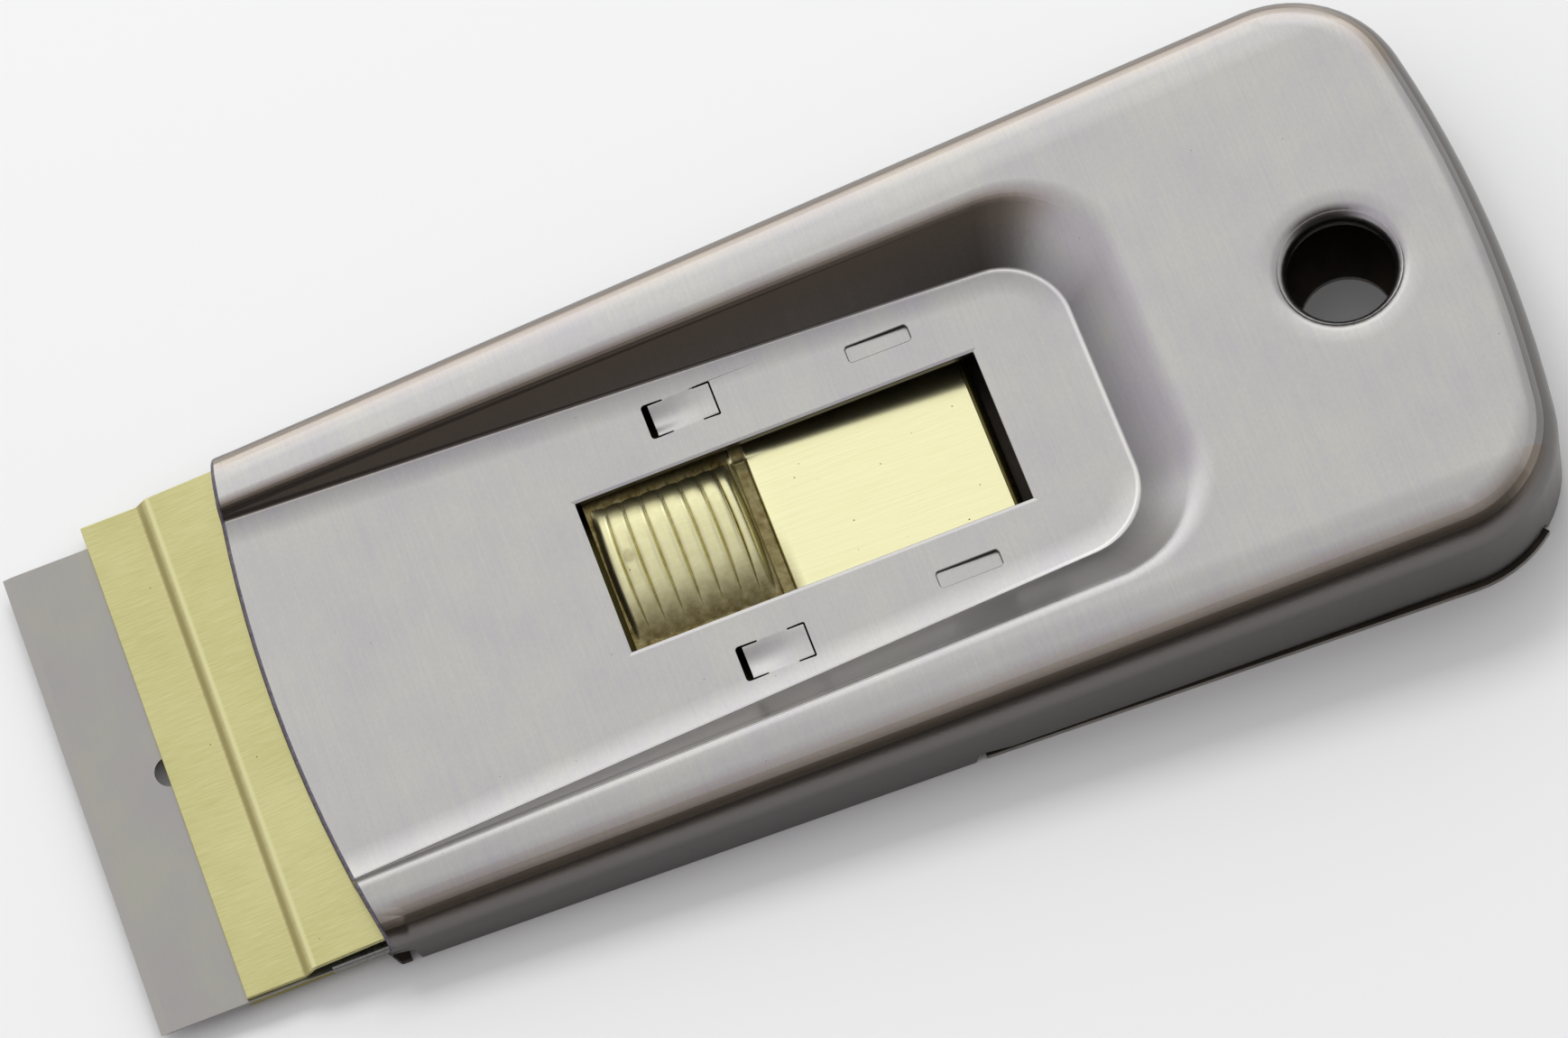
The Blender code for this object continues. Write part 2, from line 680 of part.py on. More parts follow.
def make_spine(finish, parent):
    # A strip folded over the blade's back edge.
    rear = blade_depth - blade_ahead_of_lip - lip_ahead_of_cover
    middle = blade_middle - tray_bottom
    front = max(rear - spine_depth, lip_depth + joggle_run - lip_ahead_of_cover + spine_behind_joggle)
    radius = (spine_slot + spine_sheet) / 2
    bend = arc((rear + spine_fit + spine_sheet / 2 - radius, middle), radius, -pi / 2, pi / 2, 2 * bend_steps)
    path = [(front, middle - radius)] + bend + [(front, middle + radius)]
    bm = bent_strip(path, spine_sheet, blade_width, blade_shift)
    return finish_object("blade_spine", bm, finish, (0, 0, 0), parent)


def pad_rise(along, across, crest):
    # The pad's crown and its ribs above the leaf: steep at the pad's sides, each rib rounded at its ends.
    rib = abs(sin(pi * rib_count * (along + 1) / 2)) ** rib_round_share
    reach = min(1, abs(across) / (1 - rib_end_share * (1 - rib)))
    sides = (1 - abs(along) ** pad_squareness) * (1 - reach ** pad_squareness)
    return sides * (1 - pad_crown_share * across ** 2) * (crest - rib_height * (1 - rib))


def rib_place(along, across):
    # The ribs are widest in the middle of the pad and bow apart there, as the dome stretches them.
    spread = along + rib_spread_share * (along - along ** 3)
    bow = 1 - rib_bow_share * across ** 2
    return (pad_front + pad_rear) / 2 + spread * bow * pad_length / 2


def leaf_columns():
    steps = rib_count * rib_steps
    columns = [leaf_front] + [pad_front + pad_length * i / steps for i in range(steps + 1)]
    columns += [pad_rear + valley_wall_run, pad_rear + valley_width - valley_wall_run]
    columns += [pad_rear + valley_width, leaf_rear]
    return columns


def leaf_rows():
    half, pad = leaf_width / 2, pad_width / 2
    end_shares = [0.3, 0.55, 0.75, 0.86, 0.92, 0.96, 0.985, 1]
    shares = [-share for share in reversed(end_shares)] + [0] + end_shares
    return [-half] + [pad * share for share in shares] + [half]


def make_leaf(finish, parent):
    # A tongue with a raised ribbed pad, a valley behind it and a flat plate back to the fold.
    columns, rows = leaf_columns(), leaf_rows()
    bm = bmesh.new()
    bmesh.ops.create_grid(bm, x_segments=len(columns) - 1, y_segments=len(rows) - 1, size=1)
    sheet = sorted(bm.verts, key=lambda v: (round(v.co.x, 4), round(v.co.y, 4)))
    for i, vert in enumerate(sheet):
        vert.co = (columns[i // len(rows)], rows[i % len(rows)], 0)
    middle_x = (pad_front + pad_rear) / 2
    root_height = tray_bottom + fold_height
    middle_height = root_height + leaf_slope * (leaf_rear - middle_x)
    crest = panel_height(middle_x) + pad_proud - middle_height
    raised = bmesh.ops.extrude_face_region(bm, geom=bm.faces[:])
    top = {item for item in raised["geom"] if isinstance(item, bmesh.types.BMVert)}
    for vert in bm.verts:
        x, y, _ = vert.co
        along, across = (2 * x - pad_front - pad_rear) / pad_length, 2 * y / pad_width
        in_valley = pad_rear < x < pad_rear + valley_width and abs(y) < pad_width / 2
        height = root_height + leaf_slope * (leaf_rear - x)
        if round(max(abs(along), abs(across)), 4) <= 1:
            x = rib_place(along, across)
            height += pad_rise(along, across, crest)
        height -= valley_depth if in_valley else 0
        height -= 0 if vert in top else brass_sheet
        vert.co = (x - hinge_x, y, height - hinge_z)
    return finish_object("thumb_leaf", bm, finish, (hinge_x, 0, hinge_z - tray_bottom), parent)


def clear_scene():
    for obj in list(bpy.data.objects):
        bpy.data.objects.remove(obj, do_unlink=True)


def build():
    clear_scene()
    steel = material("brushed stainless cover", (0.49, 0.49, 0.48), 1.0, 0.32)
    plate_steel = material("stainless back", (0.42, 0.41, 0.39), 1.0, 0.38)
    tray_brass = material("brass tray", (0.50, 0.45, 0.20), 1.0, 0.35)
    clamp_brass = material("brass clamp", (0.56, 0.51, 0.24), 1.0, 0.3)
    leaf_brass = material("brass leaf", (0.62, 0.57, 0.28), 1.0, 0.3)
    blade_steel = material("carbon steel blade", (0.36, 0.35, 0.31), 1.0, 0.35)
    spine_steel = material("plated spine", (0.40, 0.40, 0.40), 1.0, 0.3)
    make_cover(steel)
    make_back_plate(plate_steel)
    carriage = guide_empty("carriage_slide", (cover_front, 0, tray_bottom))
    make_tray(tray_brass, carriage)
    make_clamp(clamp_brass, carriage)
    make_blade(blade_steel, carriage)
    make_spine(spine_steel, carriage)
    make_leaf(leaf_brass, carriage)
    travel = slide_travel / mm
    press = press_angle * 180 / pi
    axis_x, axis_z = (cover_front + hinge_x) / mm, hinge_z / mm
    print(f"carriage travel {travel:.2f} mm, press {press:.3f} degrees")
    print(f"press axis at x {axis_x:.3f} mm, z {axis_z:.3f} mm, cover front at {cover_front / mm:.3f} mm")


build()
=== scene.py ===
# A pocket window scraper, lying on its back on a sheet of white paper.
# A belt-brushed steel handle, a brass carriage that slides in it, and a single-edge blade.
from math import cos, pi, radians, sin

import bmesh
import bpy
from mathutils import Matrix, Vector


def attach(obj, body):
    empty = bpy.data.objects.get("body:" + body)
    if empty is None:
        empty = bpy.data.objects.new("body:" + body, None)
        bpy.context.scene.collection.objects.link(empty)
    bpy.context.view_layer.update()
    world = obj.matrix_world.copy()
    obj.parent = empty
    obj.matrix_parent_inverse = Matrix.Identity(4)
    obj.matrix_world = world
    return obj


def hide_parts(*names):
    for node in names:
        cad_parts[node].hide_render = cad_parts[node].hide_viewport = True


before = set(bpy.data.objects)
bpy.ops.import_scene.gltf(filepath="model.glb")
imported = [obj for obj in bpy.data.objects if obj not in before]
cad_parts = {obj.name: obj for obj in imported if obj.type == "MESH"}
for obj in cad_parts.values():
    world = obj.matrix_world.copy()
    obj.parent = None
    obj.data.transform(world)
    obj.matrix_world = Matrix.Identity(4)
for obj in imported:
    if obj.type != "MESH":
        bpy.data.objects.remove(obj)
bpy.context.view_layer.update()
mm = 0.001
metre = 1000  # a pattern of scale metre / size repeats about every size mm
noiseRange = {"From Min": 0.3, "From Max": 0.7}  # where most values of a noise lie
# A Mix node's sockets for colours, whose names it also gives to others.
mixShare, mixBase, mixOver, mixOut = 0, 6, 7, 2
bpy.context.scene.view_settings.view_transform = "Standard"
print("frame loaded")


def linearColour(text):
    parts = [int(text[i:i + 2], 16) / 255 for i in (1, 3, 5)]  # an sRGB hex colour, as Blender wants it
    return (*[c / 12.92 if c <= 0.04045 else ((c + 0.055) / 1.055) ** 2.4 for c in parts], 1)


def addNode(tree, kind, values=None, links=None, **settings):
    node = tree.nodes.new("ShaderNode" + kind)
    for name, value in settings.items():
        setattr(node, name, value)
    for name, value in (values or {}).items():
        node.inputs[name].default_value = value
    for name, source in (links or {}).items():
        tree.links.new(source, node.inputs[name])
    return node


def newMaterial(name):
    made = bpy.data.materials.new(name)
    made.use_nodes = True
    tree = made.node_tree
    return made, tree, tree.nodes["Principled BSDF"]


def fillRamp(ramp, stops):
    # Each stop is a place from 0 to 1 and an sRGB hex colour, or a number for a plain grey.
    elements = ramp.color_ramp.elements
    while len(elements) < len(stops):
        elements.new(0.5)
    for element, (place, colour) in zip(elements, stops):
        element.position = place
        element.color = linearColour(colour) if isinstance(colour, str) else (colour, colour, colour, 1)


# The camera stands on the near side, 25 degrees off the vertical, with a long lens.
camera = {
    "tilt": 25.145, "lean": -2.093, "roll": 21.703,
    "distance": 594.471 * mm, "target": (-0.235 * mm, -1.033 * mm, 5.0 * mm),
    "lens": 190.73, "sensor": 36.0, "clip": (0.01, 20),
}


def placeCamera():
    tilt, roll = radians(camera["tilt"]), radians(camera["roll"])
    leaning = Matrix.Rotation(radians(camera["lean"]), 3, "Y")
    back = leaning @ Vector((0, -sin(tilt), cos(tilt)))
    right = leaning @ Vector((1, 0, 0))
    up = back.cross(right)
    rightTurned = cos(roll) * right - sin(roll) * up
    upTurned = sin(roll) * right + cos(roll) * up
    data = bpy.data.cameras.new("photoCamera")
    data.lens = camera["lens"]
    data.sensor_width = camera["sensor"]
    data.clip_start, data.clip_end = camera["clip"]
    eye = bpy.data.objects.new("photoCamera", data)
    turn = Matrix((rightTurned, upTurned, back)).transposed().to_4x4()
    eye.matrix_world = Matrix.Translation(Vector(camera["target"]) + back * camera["distance"]) @ turn
    bpy.context.scene.collection.objects.link(eye)
    bpy.context.scene.camera = eye


placeCamera()
print("camera placed")

# Light: a white wall and ceiling over the far side, and a dim room on the near side. Each stop is
# degrees from straight up towards the far side, and the colour that metal sees there.
studio = {
    "stops": [
        (-180, "#47423b"), (-105, "#3b3731"), (-88, "#312e29"), (-70, "#34312d"), (-60, "#44403d"),
        (-47, "#716d6b"), (-31, "#989697"), (-15, "#aba9ac"), (-5, "#b2b1b3"), (5, "#b8b8b8"),
        (17, "#c4c3c2"), (25, "#cfcecd"), (41, "#dbdbda"), (59, "#f0f0f0"), (77, "#ffffff"),
        (90, "#ffffff"), (96, "#bcbcba"), (180, "#989694"),
    ],
    "bladeSide": "#b6b3b8", "holeSide": "#acabac",  # the room beyond the two ends
    "sideStart": 0.5, "sideFull": 0.85,
    "strength": 1.6,
    "lampPlace": (0.0, 0.50, 0.56), "lampSize": (0.5, 0.2), "lampPower": 2.0,
    "floorColour": "#f2f3f3", "floorRoughness": 0.9, "floorSheen": 0.1, "floorSize": 8.0,
}


def buildStudio():
    world = bpy.data.worlds.new("studio")
    bpy.context.scene.world = world
    world.use_nodes = True
    tree = world.node_tree
    background = tree.nodes["Background"]
    direction = addNode(tree, "TexCoord")
    split = addNode(tree, "SeparateXYZ", links={"Vector": direction.outputs["Generated"]})
    turn = addNode(tree, "Math", links={0: split.outputs["Y"], 1: split.outputs["Z"]}, operation="ARCTAN2")
    share = addNode(tree, "MapRange", {"From Min": -pi, "From Max": pi}, {"Value": turn.outputs["Value"]})
    room = addNode(tree, "ValToRGB", links={"Fac": share.outputs["Result"]})
    fillRamp(room, [((degrees + 180) / 360, colour) for degrees, colour in studio["stops"]])
    seen = room.outputs["Color"]
    for colour, sign in ((studio["bladeSide"], -1), (studio["holeSide"], 1)):
        reach = {"From Min": sign * studio["sideStart"], "From Max": sign * studio["sideFull"]}
        beyond = addNode(tree, "MapRange", reach, {"Value": split.outputs["X"]},
                         interpolation_type="SMOOTHSTEP")
        mixed = addNode(tree, "Mix", {mixOver: linearColour(colour)},
                        {mixShare: beyond.outputs["Result"], mixBase: seen}, data_type="RGBA")
        seen = mixed.outputs[mixOut]
    tree.links.new(seen, background.inputs["Color"])
    background.inputs["Strength"].default_value = studio["strength"]
    panel = bpy.data.lights.new("farSoftbox", "AREA")
    panel.shape = "RECTANGLE"
    panel.size, panel.size_y = studio["lampSize"]
    panel.energy = studio["lampPower"]
    lamp = bpy.data.objects.new("farSoftbox", panel)
    spot = Vector(studio["lampPlace"])
    lamp.matrix_world = Matrix.Translation(spot) @ spot.to_track_quat("Z", "Y").to_matrix().to_4x4()
    lamp.visible_camera = False
    lamp.visible_glossy = False  # it lights the paper; the metal shows the white wall instead
    bpy.context.scene.collection.objects.link(lamp)


def buildFloor():
    bm = bmesh.new()
    bmesh.ops.create_grid(bm, x_segments=1, y_segments=1, size=studio["floorSize"] / 2)
    mesh = bpy.data.meshes.new("floor")
    bm.to_mesh(mesh)
    bm.free()
    floor = bpy.data.objects.new("floor", mesh)
    bpy.context.scene.collection.objects.link(floor)
    paper, _, shader = newMaterial("matt white paper")
    shader.inputs["Base Color"].default_value = linearColour(studio["floorColour"])
    shader.inputs["Roughness"].default_value = studio["floorRoughness"]
    shader.inputs["Specular IOR Level"].default_value = studio["floorSheen"]
    mesh.materials.append(paper)


buildStudio()
buildFloor()
print("studio built")


def mergedNode(nodeName):
    # A copy of a solid with its triangles joined and its flat faces whole again.
    joinWithin, flatWithin = 0.0005 * mm, radians(0.4)
    bm = bmesh.new()
    bm.from_mesh(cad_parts[nodeName].data)
    bmesh.ops.remove_doubles(bm, verts=bm.verts[:], dist=joinWithin)
    bmesh.ops.dissolve_limit(bm, angle_limit=flatWithin, verts=bm.verts[:], edges=bm.edges[:])
    return bm


def addPiece(bm, pieceName, body, finishes, replaced, sharpFrom=35):
    mesh = bpy.data.meshes.new(pieceName)
    bm.to_mesh(mesh)
    bm.free()
    mesh.shade_smooth()
    mesh.set_sharp_from_angle(angle=radians(sharpFrom))
    for finish in finishes:
        mesh.materials.append(finish)
    piece = bpy.data.objects.new(pieceName, mesh)
    bpy.context.scene.collection.objects.link(piece)
    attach(piece, body)
    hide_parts(replaced)
    return piece


def smoothStep(value):
    value = max(0, min(1, value))
    return value * value * (3 - 2 * value)


def roundOff(bm, edges, width, segments=2):
    # Rounds a run of sheared edges and returns the new faces.
    made = bmesh.ops.bevel(
        bm, geom=edges, offset=width, offset_type="OFFSET", affect="EDGES",
        segments=segments, profile=0.5, clamp_overlap=False, material=-1,
    )
    return made["faces"]


def keepFlat(piece):
    flat = piece.modifiers.new("flatFaces", "WEIGHTED_NORMAL")
    flat.keep_sharp = True


def easeEdges(piece, width, segments=2, sharperThan=50):
    eased = piece.modifiers.new("easedEdges", "BEVEL")
    eased.width = width
    eased.segments = segments
    eased.limit_method = "ANGLE"
    eased.angle_limit = radians(sharperThan)
    keepFlat(piece)


# The cover: lengths in millimetres, of the eased edges and of the patterns in its finish.
coverShell = {
    "noseEdge": 0.32, "windowEdge": 0.06, "cutEdge": 0.05, "sharperThan": 50,
    "noseRear": -36.5, "windowReach": 6.6,  # which edges are the front rim's and which the window's
    "edgeDark": "#5f5b64", "edgeLight": "#77737c", "tearSize": 0.35, "edgeRoughness": 0.4,
    "dark": "#b9b6ba", "light": "#c1c0bb", "roughness": (0.28, 0.33),
    "lineWidth": 0.12, "lineLength": 7.0, "lineDepth": 0.0005, "lineTone": (-0.4, 0.4),
    "grainSize": 0.28, "grainDepth": 0.010, "grainTone": (-0.3, 0.3),
    "cloudSize": 5.0, "cloudTone": (0.15, 0.85),
    "speckSpacing": 2.2, "speckSize": 0.06, "speckColour": "#8b8785",
    # how much the walls and slopes were drawn and painted in shade, by where they are and how they lean
    "drawnAndShadeEverywhere": 0.8, "drawnAndShadeAside": 1.4, "asideFrom": 0.25, "asideRun": 0.6,
    "endFrom": 44, "endRun": 8,
    "wallShadeColour": "#6e6b69", "wallShadeFrom": 0.2, "wallShadeFull": 0.7,  # painted shade on them, partly the unpolished drawn sheet
    # a warm brown tint by how steep the face is, on the far side and the near outer fillet
    "warmTints": (
        (0.0, "#ffffff"), (0.2, "#fff7ef"), (0.42, "#fff1e0"),
        (0.64, "#fff3e5"), (0.95, "#fffcf8"), (1.0, "#ffffff"),
    ),
    "tintNear": -18.3, "tintFar": 12.0, "tintFarFull": 15.5,
    # the toe, where the panel meets its slopes
    "toeSlope": -0.0525, "toeHalf": 12.892, "toeEnd": 24.4, "toeCorner": 5.0,
    "curlRun": 2.0, "curlRise": 0.42,
    # painted highlight and shade by the toe: how far outside it, and how bright the sheet is there; 0.5
    # leaves it as it is
    "toeShade": (
        (-1, 0.5), (-0.2, 0.51), (-0.04, 0.74), (0.08, 0.7), (0.26, 0.3), (1.2, 0.36), (3, 0.48), (4, 0.5),
    ),
    "shadeFrom": 8.0, "shadeFull": 20.0,
    "railSlope": 0.0288, "railStart": 16.78, "railRun": 3.2, "railDrop": 0.3,
    "holeAt": 43.15, "dishInner": 4.5, "dishOuter": 6.2, "dishDrop": 0.3,
    "windowFront": -13.8, "windowRear": 16.9, "windowHalf": 6.255, "rollWidth": 0.32, "rollDrop": 0.08,
    "lanceFront": -6.4, "lanceRear": -1.76, "lanceMiddle": 10.275, "lanceHalf": 1.4, "lanceDepth": 0.8,
    "lanceRearDepth": 0.15,
    "lanceRise": 0.45, "lanceWiden": 1.12, "lanceShut": 0.06,  # how the copy's differ from the solid's
    "marks": (7.96, 13.56), "marksBeside": 8.5,  # where the two half-pierced marks are
    # the inside's dark brown, partly the unpolished sheet and partly painted shade of the closed handle
    "insideDark": "#2c2620", "insideColour": "#4a4038", "stainSize": 4.0,
    "insideRoughness": 0.5, "insideShine": 0.5,
    "sideWall": 19, "endWall": 50, "endCentre": 40,  # outside these stand the walls; the end is rounded
    "apronColour": "#8b857e", "apronFrom": -36.4, "apronFull": -38.4, "apronHalf": 20.0,
}
outerFinish, innerFinish, rimFinish = 0, 1, 2  # the order of the cover's three finishes


def acrossToe(tree, split, side):
    # Millimetres from the centre of the panel's rounded corners; the slopes' toe lies toeCorner from it.
    corner = coverShell["toeCorner"]
    toeHere = addNode(tree, "Math", {1: -coverShell["toeSlope"], 2: corner - coverShell["toeHalf"]},
                      {0: split.outputs["X"]}, operation="MULTIPLY_ADD")
    across = addNode(tree, "Math", links={0: toeHere.outputs["Value"], 1: side}, operation="ADD")
    along = addNode(tree, "Math", {1: corner - coverShell["toeEnd"]}, {0: split.outputs["X"]},
                    operation="ADD")
    acrossOnly, alongOnly = [
        addNode(tree, "Math", {1: 0.0}, {0: reach.outputs["Value"]}, operation="MAXIMUM")
        for reach in (across, along)
    ]
    both = addNode(tree, "CombineXYZ",
                   links={"X": acrossOnly.outputs["Value"], "Y": alongOnly.outputs["Value"]})
    distance = addNode(tree, "VectorMath", links={0: both.outputs["Vector"]}, operation="LENGTH")
    return distance.outputs["Value"]


def pressedHeight(tree, split, side, reach):
    # What the die left besides the solid's own forms, in millimetres: the panel curls up a little
    # towards its slopes, and the rails beside it fall away a little towards the outer fillets.
    c = coverShell
    toe = c["toeCorner"]
    near = addNode(tree, "MapRange", {"From Min": toe - c["curlRun"], "From Max": toe}, {"Value": reach})
    curl = addNode(tree, "Math", {1: 2.0}, {0: near.outputs["Result"]}, operation="POWER")
    railHere = addNode(tree, "Math", {1: -c["railSlope"], 2: -c["railStart"]}, {0: split.outputs["X"]},
                       operation="MULTIPLY_ADD")
    past = addNode(tree, "Math", links={0: railHere.outputs["Value"], 1: side}, operation="ADD")
    fall = addNode(tree, "MapRange", {"From Max": c["railRun"], "To Max": -c["railDrop"]},
                   {"Value": past.outputs["Value"]}, interpolation_type="SMOOTHSTEP")
    height = addNode(tree, "Math", {1: c["curlRise"]}, {0: curl.outputs["Value"], 2: fall.outputs["Result"]},
                     operation="MULTIPLY_ADD")
    # The punch rolled the sheet's face down along the window's edge.
    middle = (c["windowFront"] + c["windowRear"]) / 2
    fromMiddle = addNode(tree, "Math", {1: middle}, {0: split.outputs["X"]}, operation="SUBTRACT")
    lengthways = addNode(tree, "Math", links={0: fromMiddle.outputs["Value"]}, operation="ABSOLUTE")
    pastEnd = addNode(tree, "Math", {1: c["windowRear"] - middle}, {0: lengthways.outputs["Value"]},
                      operation="SUBTRACT")
    pastSide = addNode(tree, "Math", {1: c["windowHalf"]}, {0: side}, operation="SUBTRACT")
    outside = addNode(tree, "Math", links={0: pastEnd.outputs["Value"], 1: pastSide.outputs["Value"]},
                      operation="MAXIMUM")
    rolled = addNode(tree, "MapRange", {"From Max": c["rollWidth"], "To Min": -c["rollDrop"], "To Max": 0.0},
                     {"Value": outside.outputs["Value"]}, interpolation_type="SMOOTHSTEP")
    total = addNode(tree, "Math", links={0: height.outputs["Value"], 1: rolled.outputs["Result"]},
                    operation="ADD")
    # The flat is drawn into a shallow dish round the hang hole.
    fromHole = addNode(tree, "Math", {1: c["holeAt"]}, {0: split.outputs["X"]}, operation="SUBTRACT")
    offHole = addNode(tree, "CombineXYZ", links={"X": fromHole.outputs["Value"], "Y": side})
    away = addNode(tree, "VectorMath", links={0: offHole.outputs["Vector"]}, operation="LENGTH")
    nearHole = addNode(tree, "MapRange", {"From Min": c["dishOuter"], "From Max": c["dishInner"]},
                       {"Value": away.outputs["Value"]})
    dished = addNode(tree, "Math", {1: 2.0}, {0: nearHole.outputs["Result"]}, operation="POWER")
    lowered = addNode(tree, "Math", {1: -c["dishDrop"]},
                      {0: dished.outputs["Value"], 2: total.outputs["Value"]}, operation="MULTIPLY_ADD")
    return lowered.outputs["Value"]


def brushedStainless():
    # Stainless sheet, belt-brushed across its length and then drawn: soft broad reflections with
    # fine lines, and a grainy orange peel where the sheet was stretched over the die.
    c = coverShell
    made, tree, shader = newMaterial("belt-brushed stainless")
    place = addNode(tree, "TexCoord").outputs["Object"]
    # A 120-grit belt leaves lines about 0.1 mm apart; they are drawn a little coarser, to show.
    width, length = metre / c["lineWidth"], metre / c["lineLength"]
    stretched = addNode(tree, "Mapping", {"Scale": (width, length, length)}, {"Vector": place})
    lines = addNode(tree, "TexNoise", {"Scale": 1.0, "Detail": 3.0, "Roughness": 0.65},
                    {"Vector": stretched.outputs["Vector"]})
    grain = addNode(tree, "TexNoise", {"Scale": metre / c["grainSize"], "Detail": 3.0, "Roughness": 0.6},
                    {"Vector": place})
    clouds = addNode(tree, "TexNoise", {"Scale": metre / c["cloudSize"], "Detail": 3.0}, {"Vector": place})
    lineTone, cloudTone, grainTone = [
        addNode(tree, "MapRange", {**noiseRange, "To Min": low, "To Max": high},
                {"Value": noise.outputs["Fac"]})
        for noise, (low, high) in ((lines, c["lineTone"]), (clouds, c["cloudTone"]), (grain, c["grainTone"]))
    ]
    both = addNode(tree, "Math", links={0: lineTone.outputs["Result"], 1: cloudTone.outputs["Result"]},
                   operation="ADD")
    together = addNode(tree, "Math", links={0: both.outputs["Value"], 1: grainTone.outputs["Result"]},
                       operation="ADD")
    colours = addNode(tree, "ValToRGB", links={"Fac": together.outputs["Value"]})
    fillRamp(colours, ((0, c["dark"]), (1, c["light"])))
    # The steep walls and slopes are darker: partly the unpolished drawn sheet, partly painted shade.
    drawnAndShade = addNode(tree, "Attribute", attribute_name="drawnAndShade").outputs["Fac"]
    wallShade = addNode(tree, "MapRange", {"From Min": c["wallShadeFrom"], "From Max": c["wallShadeFull"]},
                   {"Value": drawnAndShade})
    shadedColour = addNode(tree, "Mix", {mixOver: linearColour(c["wallShadeColour"])},
                    {mixShare: wallShade.outputs["Result"], mixBase: colours.outputs["Color"]}, data_type="RGBA")
    scaled = addNode(tree, "Mapping", {"Scale": (metre, metre, metre)}, {"Vector": place})
    split = addNode(tree, "SeparateXYZ", links={"Vector": scaled.outputs["Vector"]})
    # The far slope and both outer fillets are tinted warm; the near slope is left untinted.
    tint = addNode(tree, "ValToRGB", links={"Fac": drawnAndShade})
    fillRamp(tint, c["warmTints"])
    onFar = addNode(tree, "MapRange", {"From Min": c["tintFar"], "From Max": c["tintFarFull"]},
                    {"Value": split.outputs["Y"]}, interpolation_type="SMOOTHSTEP")
    onNear = addNode(tree, "Math", {1: c["tintNear"]}, {0: split.outputs["Y"]}, operation="LESS_THAN")
    where = addNode(tree, "Math", links={0: onFar.outputs["Result"], 1: onNear.outputs["Value"]},
                    operation="MAXIMUM")
    tinted = {
        mixShare: where.outputs["Value"],
        mixBase: shadedColour.outputs[mixOut],
        mixOver: tint.outputs["Color"],
    }
    shadedColour = addNode(tree, "Mix", links=tinted, data_type="RGBA", blend_type="MULTIPLY")
    # Towards the rear a painted highlight runs along the toe, and painted shade lies on the slope just
    # outside it. The ramp holds half of each share, so that it can brighten too.
    side = addNode(tree, "Math", links={0: split.outputs["Y"]}, operation="ABSOLUTE").outputs["Value"]
    fromCorner = acrossToe(tree, split, side)
    toe, first, last = c["toeCorner"], c["toeShade"][0][0], c["toeShade"][-1][0]
    share = addNode(tree, "MapRange", {"From Min": toe + first, "From Max": toe + last},
                    {"Value": fromCorner})
    shade = addNode(tree, "ValToRGB", links={"Fac": share.outputs["Result"]})
    fillRamp(shade, [((away - first) / (last - first), grey) for away, grey in c["toeShade"]])
    atRear = addNode(tree, "MapRange", {"From Min": c["shadeFrom"], "From Max": c["shadeFull"]},
                     {"Value": split.outputs["X"]})
    doubled = addNode(tree, "VectorMath", {1: (2, 2, 2)}, {0: shade.outputs["Color"]}, operation="MULTIPLY")
    shaded = addNode(tree, "VectorMath", links={0: shadedColour.outputs[mixOut], 1: doubled.outputs["Vector"]},
                     operation="MULTIPLY")
    toeLitAndShaded = {
        mixShare: atRear.outputs["Result"],
        mixBase: shadedColour.outputs[mixOut],
        mixOver: shaded.outputs["Vector"],
    }
    shadedColour = addNode(tree, "Mix", links=toeLitAndShaded, data_type="RGBA")
    # Here and there a dark speck, where a grain of the belt dug in.
    cells = addNode(tree, "TexVoronoi", {"Scale": metre / c["speckSpacing"]}, {"Vector": place})
    reach = c["speckSize"] / c["speckSpacing"]
    dot = addNode(tree, "MapRange", {"From Min": reach, "From Max": reach / 2},
                  {"Value": cells.outputs["Distance"]})
    specked = addNode(tree, "Mix", {mixOver: linearColour(c["speckColour"])},
                      {mixShare: dot.outputs["Result"], mixBase: shadedColour.outputs[mixOut]}, data_type="RGBA")
    tree.links.new(specked.outputs[mixOut], shader.inputs["Base Color"])
    low, high = c["roughness"]
    rough = addNode(tree, "MapRange", {**noiseRange, "To Min": low, "To Max": high},
                    {"Value": lines.outputs["Fac"]})
    tree.links.new(rough.outputs["Result"], shader.inputs["Roughness"])
    pressed = addNode(tree, "Bump", {"Strength": 1.0, "Distance": mm},
                      {"Height": pressedHeight(tree, split, side, fromCorner)})
    peelHeight = addNode(tree, "Math", links={0: grain.outputs["Fac"], 1: drawnAndShade}, operation="MULTIPLY")
    peel = addNode(tree, "Bump", {"Strength": 1.0, "Distance": c["grainDepth"] * mm},
                   {"Height": peelHeight.outputs["Value"], "Normal": pressed.outputs["Normal"]})
    brushed = addNode(tree, "Bump", {"Strength": 1.0, "Distance": c["lineDepth"] * mm},
                      {"Height": lines.outputs["Fac"], "Normal": peel.outputs["Normal"]})
    tree.links.new(brushed.outputs["Normal"], shader.inputs["Normal"])
    shader.inputs["Metallic"].default_value = 1.0
    return made


